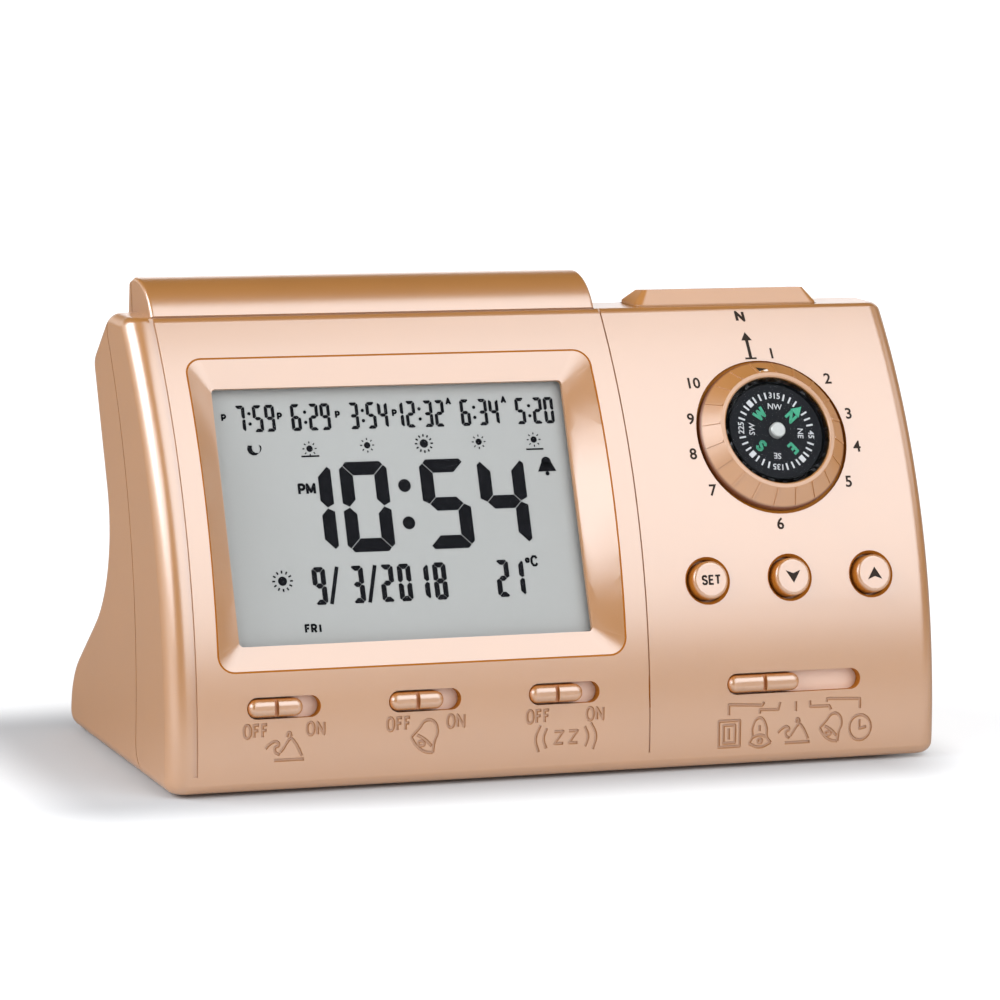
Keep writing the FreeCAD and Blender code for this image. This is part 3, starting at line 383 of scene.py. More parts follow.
casePaint = {
    "colour": (0.43, 0.168, 0.024), "vary": 0.05, "patch": 90, "rough": 0.45, "roughVary": 0.04,
    "grain": 4200, "bump": 0.006, "ior": 1.8, "coat": 1.0, "coatRough": 0.28, "coatIor": 2.6,
}
trimPaint = {**casePaint, "patch": 160, "rough": 0.42, "bump": 0.005, "coatRough": 0.27}
usual = {  # where a finish doesn't say
    "vary": 0.15, "rough": 0.5, "roughVary": 0.08, "grain": 5000, "bump": 0.002,
    "metallic": 0.0, "specular": 0.5, "ior": 1.5, "patchDetail": 3, "grainDetail": 2,
}
finishes = {
    "casePaint": casePaint,
    "trimPaint": trimPaint,
    "padPaint": {**trimPaint, "coat": 0.35},
    "dialPaint": {**trimPaint, "rough": 0.5, "coatRough": 0.38, "coat": 0.55},
    # painted shade: darker golden paint with no coat on the groove round the recess and on the low walls
    "recessShadePaint": {**trimPaint, "colour": (0.42, 0.145, 0.013), "rough": 0.6, "ior": 1.5,
                  "specular": 0.15, "coat": 0.0},
    # painted shade: darker paint in the sunk signs
    "signShadePaint": {**casePaint, "colour": (0.35, 0.130, 0.018), "coat": 0.65},
    "displayGrey": {"colour": (0.475, 0.478, 0.458), "vary": 0.03, "patch": 25, "roughVary": 0.04,
                    "grain": 6000, "bump": 0.001, "specular": 0.1},
    "displayInk": {"colour": (0.006, 0.006, 0.008), "patch": 400, "rough": 0.7, "roughVary": 0.05,
                   "bump": 0.001, "specular": 0.06},
    "printInk": {"colour": (0.030, 0.020, 0.014), "patch": 600, "rough": 0.7, "specular": 0.15},
    "whiteInk": {"colour": (0.66, 0.67, 0.68), "vary": 0.10, "patch": 900},
    "greenInk": {"colour": (0.035, 0.40, 0.22), "vary": 0.12, "patch": 900},
    "creamInk": {"colour": (0.85, 0.75, 0.66), "vary": 0.08, "patch": 600, "roughVary": 0.06},
    "whitePlastic": {"colour": (0.78, 0.78, 0.75), "vary": 0.04, "patch": 60, "roughVary": 0.07,
                     "grain": 2500, "bump": 0.006},
    "blackPlastic": {"colour": (0.012, 0.012, 0.015), "vary": 0.2, "patch": 150, "rough": 0.22,
                     "roughVary": 0.06, "grain": 3000},
    "cardBlack": {"colour": (0.010, 0.011, 0.014), "patch": 350, "rough": 0.7, "bump": 0.003,
                  "specular": 0.15},
    "switchPlastic": {"colour": (0.035, 0.035, 0.036), "patch": 250, "grain": 3000, "bump": 0.004},
    "boardGreen": {"colour": (0.02, 0.17, 0.06), "vary": 0.18, "patch": 120, "rough": 0.35,
                   "roughVary": 0.1, "grain": 1500, "bump": 0.01},
    "stripRubber": {"colour": (0.50, 0.47, 0.43), "vary": 0.1, "patch": 300, "rough": 0.7,
                    "grain": 2500, "bump": 0.006},
    "footRubber": {"colour": (0.02, 0.02, 0.02), "vary": 0.25, "patch": 300, "rough": 0.85,
                   "grain": 2200, "bump": 0.012},
    "platedSteel": {"colour": (0.62, 0.62, 0.63), "vary": 0.06, "patch": 220, "metallic": 1.0,
                    "rough": 0.32, "roughVary": 0.1, "grain": 2600, "bump": 0.003},
    "brightMetal": {"colour": (0.50, 0.51, 0.49), "vary": 0.04, "patch": 500, "metallic": 0.3,
                    "rough": 0.35, "roughVary": 0.06, "grain": 4000},
    "magnetIron": {"colour": (0.07, 0.07, 0.075), "vary": 0.2, "patch": 400, "metallic": 0.6,
                   "rough": 0.6, "roughVary": 0.1, "grain": 3500, "bump": 0.008},
    "contactBrass": {"colour": (0.72, 0.50, 0.20), "vary": 0.08, "patch": 300, "metallic": 1.0,
                     "rough": 0.35, "roughVary": 0.1, "grain": 2600, "bump": 0.003},
    "conePaper": {"colour": (0.03, 0.03, 0.032), "vary": 0.3, "patch": 700, "rough": 0.9,
                  "roughVary": 0.06, "grain": 1800, "bump": 0.02},
    "cellJacket": {"colour": (0.05, 0.05, 0.055), "vary": 0.12, "patch": 60, "metallic": 0.2,
                   "rough": 0.3, "roughVary": 0.05, "grain": 2400},
}


def makeFinish(name, values):
    v = {**usual, **values}
    mat, tree, shader, place = newMaterial(name)
    cloud = noiseOn(tree, place, v["patch"], v["patchDetail"])  # slow colour change
    grain = noiseOn(tree, place, v["grain"], v["grainDetail"])  # fine surface grain
    light = (*[min(1, c * (1 + v["vary"])) for c in v["colour"]], 1)
    dark = (*[c * (1 - v["vary"]) for c in v["colour"]], 1)
    tree.links.new(mixColour(tree, cloud, dark, light), shader["Base Color"])
    rough = ranged(tree, grain, (0, 1), (v["rough"] - v["roughVary"], v["rough"] + v["roughVary"]))
    tree.links.new(rough, shader["Roughness"])
    bump = tree.nodes.new("ShaderNodeBump")
    bump.inputs["Strength"].default_value = 1.0
    bump.inputs["Distance"].default_value = v["bump"] * mm
    tree.links.new(grain, bump.inputs["Height"])
    tree.links.new(bump.outputs["Normal"], shader["Normal"])
    shader["Metallic"].default_value = v["metallic"]
    shader["Specular IOR Level"].default_value = v["specular"]
    shader["IOR"].default_value = v["ior"]
    if "coat" in v:
        shader["Coat Weight"].default_value = v["coat"]
        shader["Coat Roughness"].default_value = v["coatRough"]
        shader["Coat IOR"].default_value = v["coatIor"]
        tree.links.new(bump.outputs["Normal"], shader["Coat Normal"])
    return mat


finish = {name: makeFinish(name, values) for name, values in finishes.items()}

clear = {
    "colour": (0.02, 0.022, 0.022), "shade": 0.97, "alpha": 0.05, "specular": 0.12,
    "rough": 0.06, "roughShare": (0.7, 1.3), "grain": 900,
}


def makeClear(v):  # a clear window, seen through, with a faint polish of its own
    mat, tree, shader, place = newMaterial("clearWindow")
    polish = noiseOn(tree, place, v["grain"], usual["grainDetail"])
    tint = mixColour(tree, polish, (*[c * v["shade"] for c in v["colour"]], 1), (*v["colour"], 1))
    tree.links.new(tint, shader["Base Color"])
    rough = ranged(tree, polish, (0, 1), [v["rough"] * share for share in v["roughShare"]])
    tree.links.new(rough, shader["Roughness"])
    shader["Alpha"].default_value = v["alpha"]
    shader["Specular IOR Level"].default_value = v["specular"]
    return mat


finish["clearWindow"] = makeClear(clear)

# painted shade: darker paint with no coat low on the ring, the buttons and the sliders, and a paler colour on
# the sliders' deep floor

paintedShades = {  # the painted shade fades out between two heights, in mm above the curved face or the dial's plane
    "ringPaint": {"paint": "dialPaint", "colour": (0.15, 0.036, 0.005), "fade": (0.30, 0.60), "lean": 29.3},
    "capPaint": {"paint": "trimPaint", "colour": (0.44, 0.145, 0.012), "fade": (1.10, 1.65)},
    "sliderPaint": {"paint": "trimPaint", "colour": (0.40, 0.115, 0.010), "fade": (0.15, 0.75),
                    "floor": (-2.0, -2.1), "floorColour": (0.82, 0.56, 0.42)},
}


def heightAbove(tree, place, v):  # how far the surface stands off the face, or off the dial's plane
    axis = faceAxis * mm
    if "lean" in v:
        out = outward(v["lean"])
        return vectorWorked(tree, "DOT_PRODUCT", place, out), axis.dot(out) + face["radius"] * mm
    flat = vectorWorked(tree, "MULTIPLY", place, (0, 1, 1))
    return vectorWorked(tree, "DISTANCE", flat, axis), face["radius"] * mm


def makeWash(name, v):
    mat = finish[v["paint"]].copy()
    mat.name = name
    tree = mat.node_tree
    shader = tree.nodes["Principled BSDF"].inputs
    painted = shader["Base Color"].links[0].from_socket
    height, zero = heightAbove(tree, tree.nodes.new("ShaderNodeTexCoord").outputs["Object"], v)
    # painted shade: full darker paint low down, none above the fade
    paintedShadeAmount = ranged(tree, height, [zero + at * mm for at in v["fade"]], (1, 0))
    colour = mixColour(tree, paintedShadeAmount, painted, (*v["colour"], 1))
    if "floor" in v:
        low = ranged(tree, height, [zero + at * mm for at in v["floor"]])
        colour = mixColour(tree, low, colour, (*v["floorColour"], 1))
    tree.links.new(colour, shader["Base Color"])
    coat = finishes[v["paint"]]["coat"]
    # no coat where the shade is painted, so nothing bright is reflected there
    tree.links.new(worked(tree, "MULTIPLY_ADD", paintedShadeAmount, -coat, coat), shader["Coat Weight"])
    return mat


for name, values in paintedShades.items():
    finish[name] = makeWash(name, values)

slotFinish = {
    "case_paint": "casePaint", "trim_paint": "trimPaint", "clear_lens": "clearWindow",
    "display_glass": "displayGrey", "white_plastic": "whitePlastic", "black_plastic": "blackPlastic",
    "card_black": "cardBlack", "switch_plastic": "switchPlastic", "board_green": "boardGreen",
    "strip_rubber": "stripRubber", "foot_rubber": "footRubber", "steel": "platedSteel",
    "bright_metal": "brightMetal", "magnet_iron": "magnetIron", "contact_brass": "contactBrass",
    "cone_paper": "conePaper", "cell_jacket": "cellJacket",
}
nodeFinish = {
    "chime_slider": "sliderPaint", "alarm_slider": "sliderPaint", "snooze_slider": "sliderPaint",
    "mode_slider": "sliderPaint", "set_button": "capPaint", "down_button": "capPaint",
    "up_button": "capPaint", "selector_knob": "ringPaint", "light_button": "padPaint",
}
for name, node in nodes.items():
    for place in node.material_slots:
        slot = place.material.name.split(".")[0]
        place.material = finish[nodeFinish.get(name, slotFinish[slot])]
print("finishes set")


# display: dark segments just above the grey glass

display = {  # mm, in the display's own plane
    "x": -27.5, "lean": 24.3, "glassTop": -6.1, "clear": 0.02, "thick": 0.04,
    "time": {"width": 9.1, "height": 16.7, "stroke": 2.5, "gap": 0.09, "chamfer": 1.3, "y": 1.35},
    "timeAt": (("1", -16.65), ("0", -5.88), ("5", 9.5), ("4", 20.7)),
    "colon": {"x": 1.75, "y": (5.0, -1.95), "radius": 1.2},
    "small": {"width": 1.9, "height": 5.0, "stroke": 0.62, "gap": 0.04, "chamfer": 0.4, "y": 18.25},
    "smallTimes": ("7:59", "6:29", "3:54", "12:32", "6:34", "5:20"),
    "smallFirst": (-28.0, -17.45, -6.4, 4.55, 15.2, 26.0),
    "smallSteps": {"minutes": 3.35, "next": 2.25, "colon": 1.75, "tens": -2.3},
    "smallColon": {"y": 0.95, "radius": 0.32},
    "halfDay": {"words": "PPPPAA", "x": -3.1, "P": 18.55, "A": 20.45, "height": 1.45, "pen": 0.36},
    "signs": (  # words, x, y, height, pen and step
        ("PM", -17.05, 4.95, 2.2, 0.5, 1.75),
        ("FRI", -18.6, -20.6, 1.75, 0.4, 1.2),
        ("oC", 24.4, -9.9, 2.1, 0.42, 1.35),
    ),
    "date": {"width": 2.55, "height": 6.9, "stroke": 0.95, "gap": 0.05, "chamfer": 0.55, "y": -12.9},
    "dateAt": (("9", -16.6), ("3", -9.4), ("2", -3.7), ("0", -0.35), ("1", 3.05), ("8", 6.45)),
    "slashAt": (-13.85, -6.6), "slashHalf": (0.85, 3.4), "slashWidth": 0.7,
    "degreesAt": (("2", 18.6), ("1", 21.5)),
    "rayWide": 0.35,  # as a share of the sun's core
    "suns": {"date": (0.85, 1.95, 12), "small": (0.6, 1.35, 8), "noon": (0.8, 1.75, 12)},  # core, reach, rays
    "dateSun": (-23.5, -11.75),
    "pictures": {"x": 1.9, "y": 12.7, "rising": 0.1, "setting": -0.3, "ground": (1.7, 1.7, 0.3)},
    "moon": {"radius": 1.25, "outer": (20, 35, 9),  # each arc: first turn, step and count
             "shift": (0.45, 0.1), "bite": 0.75, "inner": (300, -33, 8)},
    "bell": {"knob": (29.8, 8.55, 0.95), "clapper": (29.8, 6.35, 0.4), "clapperSides": 16,
             "skirt": ((28.85, 8.5), (30.75, 8.5), (31.6, 6.75), (28.0, 6.75))},
}

segmentsOn = {
    "0": "abcdef", "1": "bc", "2": "abged", "3": "abgcd", "4": "fgbc", "5": "afgcd",
    "6": "afgedc", "7": "abc", "8": "abcdefg", "9": "abcdfg",
}


def segmentShape(name, v):  # the outline of one segment, round the middle of its digit
    w, h, s, g, c = v["width"] / 2, v["height"] / 2, v["stroke"], v["gap"], v["chamfer"]
    if name == "g":
        tip = w - s / 2 - g
        return [(-tip, 0), (-tip + s / 2, s / 2), (tip - s / 2, s / 2), (tip, 0), (tip - s / 2, -s / 2),
                (-tip + s / 2, -s / 2)]
    if name in "ad":
        flat = [(-w + c, h), (w - c, h), (w - c / 2 - g, h - c / 2), (w - s - g, h - s), (-w + s + g, h - s),
                (-w + c / 2 + g, h - c / 2)]
        return flat if name == "a" else [(x, -y) for x, y in flat]
    tall = [(w, h - c), (w, s / 4 + g), (w - s / 2, g), (w - s, s / 2 + g), (w - s, h - s - g),
            (w - c / 2, h - c / 2 - g)]
    if name in "ef":
        tall = [(-x, y) for x, y in tall]
    return [(x, -y) for x, y in tall] if name in "ce" else tall


def digit(bm, mark, v, x):
    for name in segmentsOn[mark]:
        plate(bm, [(x + px, v["y"] + py) for px, py in segmentShape(name, v)], display["thick"])


def disc(bm, x, y, radius, thick, sides=drawing["discSides"]):
    place = Matrix.Translation((x, y, thick / 2))
    bmesh.ops.create_cone(bm, cap_ends=True, segments=sides, radius1=radius, radius2=radius, depth=thick,
                          matrix=place)


def bar(bm, start, end, width, thick):
    a, b = Vector(start), Vector(end)
    side = Vector((a.y - b.y, b.x - a.x)).normalized() * width / 2
    plate(bm, (a - side, b - side, b + side, a + side), thick)


stemAndBowl = [(-0.27, -0.5), (-0.27, 0.5), (0.12, 0.5), (0.29, 0.36), (0.29, 0.12), (0.12, -0.03),
               (-0.27, -0.03)]
glyphs = {  # the pen's paths in each bold letter, one high
    "A": [[(-0.36, -0.5), (0, 0.5), (0.36, -0.5)], [(-0.22, -0.17), (0.22, -0.17)]],
    "C": [[(0.30, 0.26), (0.14, 0.5), (-0.14, 0.5), (-0.32, 0.24), (-0.32, -0.24), (-0.14, -0.5),
           (0.14, -0.5), (0.30, -0.26)]],
    "E": [[(0.27, 0.5), (-0.25, 0.5), (-0.25, -0.5), (0.27, -0.5)], [(-0.25, 0.02), (0.2, 0.02)]],
    "F": [[(-0.25, -0.5), (-0.25, 0.5), (0.28, 0.5)], [(-0.25, 0.04), (0.2, 0.04)]],
    "I": [[(0, -0.5), (0, 0.5)]],
    "M": [[(-0.4, -0.5), (-0.4, 0.5), (0, -0.3), (0.4, 0.5), (0.4, -0.5)]],
    "N": [[(-0.36, -0.5), (-0.36, 0.5), (0.36, -0.5), (0.36, 0.5)]],
    "P": [stemAndBowl],
    "R": [stemAndBowl, [(0.02, -0.03), (0.31, -0.5)]],
    "S": [[(0.27, 0.3), (0.12, 0.5), (-0.13, 0.5), (-0.28, 0.34), (-0.24, 0.12), (0.24, -0.12),
           (0.28, -0.34), (0.13, -0.5), (-0.14, -0.5), (-0.29, -0.3)]],
    "T": [[(-0.33, 0.5), (0.33, 0.5)], [(0, 0.5), (0, -0.5)]],
    "W": [[(-0.56, 0.5), (-0.28, -0.5), (0, 0.35), (0.28, -0.5), (0.56, 0.5)]],
    "o": [[(0.17, 0.1), (0.1, -0.07), (-0.1, -0.07), (-0.17, 0.1), (-0.1, 0.27), (0.1, 0.27), (0.17, 0.1)]],
}


def penned(words, height, pen, step, thick):  # bold letters, in a row round their middle
    bm = bmesh.new()
    high = height - pen
    for i, mark in enumerate(words):
        middle = (i - (len(words) - 1) / 2) * step
        for path in glyphs[mark]:
            points = [(middle + x * high, y * high) for x, y in path]
            for start, end in zip(points, points[1:]):
                bar(bm, start, end, pen, thick)
            for x, y in points[1:-1]:
                disc(bm, x, y, pen / 2, thick, drawing["dotSides"])
    return bm


def sunSign(bm, x, y, kind):
    v = display
    core, reach, rays = v["suns"][kind]
    disc(bm, x, y, core, v["thick"])
    at = Vector((x, y))
    for i in range(rays):
        a = math.tau * i / rays
        along = Vector((math.sin(a), math.cos(a)))
        bar(bm, at + along * (core + reach) / 2, at + along * reach, core * v["rayWide"], v["thick"])


def arc(x, y, radius, start, step, count):
    turns = [math.radians(start + step * i) for i in range(count)]
    return [(x + radius * math.sin(a), y + radius * math.cos(a)) for a in turns]


def moonSign(bm, x, y, v):  # a crescent, from one outer and one inner arc
    radius = v["radius"]
    dx, dy = v["shift"]
    outer = arc(x, y, radius, *v["outer"])
    inner = arc(x + radius * dx, y + radius * dy, radius * v["bite"], *v["inner"])
    last = len(inner) - 1
    for i in range(last):
        plate(bm, [outer[i + 1], outer[i + 2], inner[last - 1 - i], inner[last - i]], display["thick"])


def layDisplay(bm, name):
    v = display
    bmesh.ops.transform(bm, matrix=facePlace(v["x"], v["lean"], v["glassTop"] + v["clear"]), verts=bm.verts)
    return finishPiece(bm, name, "case", finish["displayInk"])


def makeDisplay(v):
    thick = v["thick"]
    bm = bmesh.new()
    for mark, x in v["timeAt"]:
        digit(bm, mark, v["time"], x)
    for y in v["colon"]["y"]:
        disc(bm, v["colon"]["x"], y, v["colon"]["radius"], thick)
    layDisplay(bm, "display_time")

    bm = bmesh.new()
    small, step, colon = v["small"], v["smallSteps"], v["smallColon"]
    for words, x in zip(v["smallTimes"], v["smallFirst"]):
        hours, minutes = words.split(":")
        digit(bm, hours[-1], small, x)
        if len(hours) == 2:
            digit(bm, hours[0], small, x + step["tens"])
        for y in (colon["y"], -colon["y"]):
            disc(bm, x + step["colon"], small["y"] + y, colon["radius"], thick, drawing["dotSides"])
        digit(bm, minutes[0], small, x + step["minutes"])
        digit(bm, minutes[1], small, x + step["minutes"] + step["next"])
    layDisplay(bm, "display_day_times")

    bm = bmesh.new()
    for mark, x in v["dateAt"] + v["degreesAt"]:
        digit(bm, mark, v["date"], x)
    dx, dy = v["slashHalf"]
    middle = v["date"]["y"]
    for x in v["slashAt"]:
        bar(bm, (x - dx, middle - dy), (x + dx, middle + dy), v["slashWidth"], thick)
    layDisplay(bm, "display_date")

    bm = bmesh.new()
    half = v["halfDay"]
    signs = list(v["signs"])
    for mark, x in zip(half["words"], v["smallFirst"]):
        signs.append((mark, x + half["x"], half[mark], half["height"], half["pen"], 0))
    for words, x, y, height, pen, step in signs:
        part = penned(words, height, pen, step, thick)
        bmesh.ops.translate(part, vec=(x, y, 0), verts=part.verts)
        addTo(bm, part)
    sunSign(bm, *v["dateSun"], "date")
    layDisplay(bm, "display_signs")

    bm = bmesh.new()  # small pictures of the time of day, under the six times
    pictures = v["pictures"]
    y = pictures["y"]
    spots = [x + pictures["x"] for x in v["smallFirst"]]
    moonSign(bm, spots[0], y, v["moon"])
    wide, deep, line = pictures["ground"]
    for x, rise in ((spots[1], pictures["setting"]), (spots[5], pictures["rising"])):
        sunSign(bm, x, y + rise, "small")
        bar(bm, (x - wide, y - deep), (x + wide, y - deep), line, thick)
    for x, kind in ((spots[2], "small"), (spots[3], "noon"), (spots[4], "small")):
        sunSign(bm, x, y, kind)
    layDisplay(bm, "display_pictures")

    bm = bmesh.new()  # bell in the corner
    disc(bm, *v["bell"]["knob"], thick)
    plate(bm, v["bell"]["skirt"], thick)
    disc(bm, *v["bell"]["clapper"], thick, v["bell"]["clapperSides"])
    layDisplay(bm, "display_bell")


makeDisplay(display)
print("display set")


# printed marks on the face round the dial

dialPrint = {
    "thick": 0.06, "sunk": 0.02, "height": 2.15, "bold": 0.055,
    "places": ((48.9, 36.95), (59.1, 34.4), (61.9, 31.07), (62.4, 28.06), (59.6, 24.95), (44.7, 21.5),
               (32.0, 24.6), (29.1, 27.85), (29.8, 31.0), (31.9, 34.3)),  # x and lean of each number
    "arrow": (44.5, 36.5), "arrowFrom": 0.2, "arrowTip": 5.6, "head": (1.05, 1.75), "shaft": 0.6,
    "foot": (1.15, 0.35),
    "north": (44.4, 40.7), "northHigh": 2.4, "northPen": 0.52,
}


def printOnFace(bm, x, lean):
    bmesh.ops.translate(bm, vec=(0, 0, -dialPrint["sunk"]), verts=bm.verts)
    wrapOnFace(bm, x, lean)


def finishPrint(bm, name, body="case"):
    finishPiece(bm, name, body, finish["printInk"])


def makeDialPrint(v):
    thick = v["thick"]
    bm = bmesh.new()
    for i, (x, lean) in enumerate(v["places"]):
        part = letters(str(i + 1), v["height"], thick, v["bold"])
        printOnFace(part, x, lean)
        addTo(bm, part)
    finishPrint(bm, "dial_numbers")
    bm = bmesh.new()
    half, long = v["head"]
    wide, deep = v["foot"]
    start, neck = v["arrowFrom"], v["arrowTip"] - long
    for across, low, high in ((v["shaft"] / 2, start, neck), (wide, start - deep, start)):
        plate(bm, [(-across, low), (across, low), (across, high), (-across, high)], thick)
    plate(bm, [(-half, neck), (half, neck), (0, v["arrowTip"])], thick)
    printOnFace(bm, *v["arrow"])
    finishPrint(bm, "dial_arrow")
    bm = penned("N", v["northHigh"], v["northPen"], 0, thick)
    printOnFace(bm, *v["north"])
    finishPrint(bm, "dial_north")


makeDialPrint(dialPrint)

knob = {"x": 45.5, "lean": 29.3}
marker = {  # a black pointer and a cream patch on the knob's sloping rim
    "lift": 0.05, "slopeFoot": (14.25, 0.35), "slopeLip": (11.3, 3.0),
    "pointer": ((13.1, -9.0), (12.3, 1.5), (11.75, -8.8)),  # mm from the knob's middle, degrees round it
    "patch": ((11.7, -10.5), (12.2, 1.5), (11.65, 1.5)),
}


def layOnKnob(bm, name, material, lift, body):
    bmesh.ops.transform(bm, matrix=facePlace(knob["x"], knob["lean"], lift), verts=bm.verts)
    return finishPiece(bm, name, body, material)


def makeMarker(v):
    (footR, footZ), (lipR, lipZ) = v["slopeFoot"], v["slopeLip"]
    for name, ink, slot in (("pointer", "printInk", "black_plastic"), ("patch", "creamInk", "white_plastic")):
        corners = []
        for radius, turn in v[name]:
            a = math.radians(turn)
            rise = footZ + (footR - radius) / (footR - lipR) * (lipZ - footZ)
            corners.append((radius * math.sin(a), radius * math.cos(a), rise + v["lift"]))
        bm = bmesh.new()
        plate(bm, corners, -2 * v["lift"])
        layOnKnob(bm, "knob_" + name, finish[ink], 0, "selector_knob")


makeMarker(marker)


# compass card

compass = {
    "north": 52.0, "cardTop": 2.1, "thick": 0.08,
    "ticks": 36, "tickMid": 7.0, "tickLong": 1.3, "tickWide": 0.32, "blockWide": 0.95, "clearTurn": 7,
    "degrees": (45, 135, 225, 315), "degreeHigh": 1.15, "degreeBold": 0.015,
    "small": ((45, "NE"), (135, "SE"), (225, "SW"), (315, "NW")), "smallAt": 4.85, "smallHigh": 1.15,
    "letters": ((0, "N"), (90, "E"), (180, "S"), (270, "W")), "letterAt": 4.45, "letterHigh": 2.35,
    "letterPen": 0.52, "arrow": ((-1.1, 5.5), (1.1, 5.5), (0, 7.5)),
}


def turnAbout(bm, radius, turn):
    place = Matrix.Rotation(math.radians(-turn), 4, "Z") @ Matrix.Translation((0, radius, 0))
    bmesh.ops.transform(bm, matrix=place, verts=bm.verts)


def makeCard(v):
    thick = v["thick"]
    white, green = bmesh.new(), bmesh.new()
    for i in range(1, v["ticks"]):
        turn = 360 * i / v["ticks"]
        if min(abs(turn - middle) for middle in v["degrees"]) < v["clearTurn"]:
            continue
        tick = bmesh.new()
        wide = v["blockWide"] if turn % 90 == 0 else v["tickWide"]
        bar(tick, (0, -v["tickLong"] / 2), (0, v["tickLong"] / 2), wide, thick)
        turnAbout(tick, v["tickMid"], v["north"] + turn)
        addTo(white, tick)
    for turn in v["degrees"]:
        part = letters(str(turn), v["degreeHigh"], thick, v["degreeBold"])
        turnAbout(part, v["tickMid"], v["north"] + turn)
        addTo(white, part)
    for turn, words in v["small"]:
        part = letters(words, v["smallHigh"], thick, 0.0)
        turnAbout(part, v["smallAt"], v["north"] + turn)
        addTo(white, part)
    for turn, words in v["letters"]:
        part = penned(words, v["letterHigh"], v["letterPen"], 0, thick)
        turnAbout(part, v["letterAt"], v["north"] + turn)
        addTo(green, part)
    arrow = bmesh.new()
    plate(arrow, v["arrow"], thick)
    turnAbout(arrow, 0, v["north"])
    addTo(green, arrow)
    layOnKnob(white, "card_marks", finish["whiteInk"], v["cardTop"], "compass_card")
    layOnKnob(green, "card_letters", finish["greenInk"], v["cardTop"], "compass_card")


makeCard(compass)
print("dial set")


# button legends

buttons = {
    "lean": 16.85, "top": 1.7, "thick": 0.05, "places": {"set": 29.0, "down": 45.5, "up": 62.0},
    "setHigh": 1.85, "setPen": 0.36, "setStep": 1.3,
    "dart": ((-1.45, -1.15), (0, -0.6), (1.45, -1.15), (0, 1.15)),
}


def makeLegends(v):
    for name, x in v["places"].items():
        if name == "set":
            bm = penned("SET", v["setHigh"], v["setPen"], v["setStep"], v["thick"])
        else:
            bm = bmesh.new()
            way = 1 if name == "up" else -1
            plate(bm, [(way * a, way * b) for a, b in v["dart"]], v["thick"])
        bmesh.ops.transform(bm, matrix=facePlace(x, v["lean"], v["top"]), verts=bm.verts)
        finishPrint(bm, name + "_legend", name + "_button")


makeLegends(buttons)
print("legends set")


# the front shell: the CAD one with the signs under the switches and the line round the recess cut in

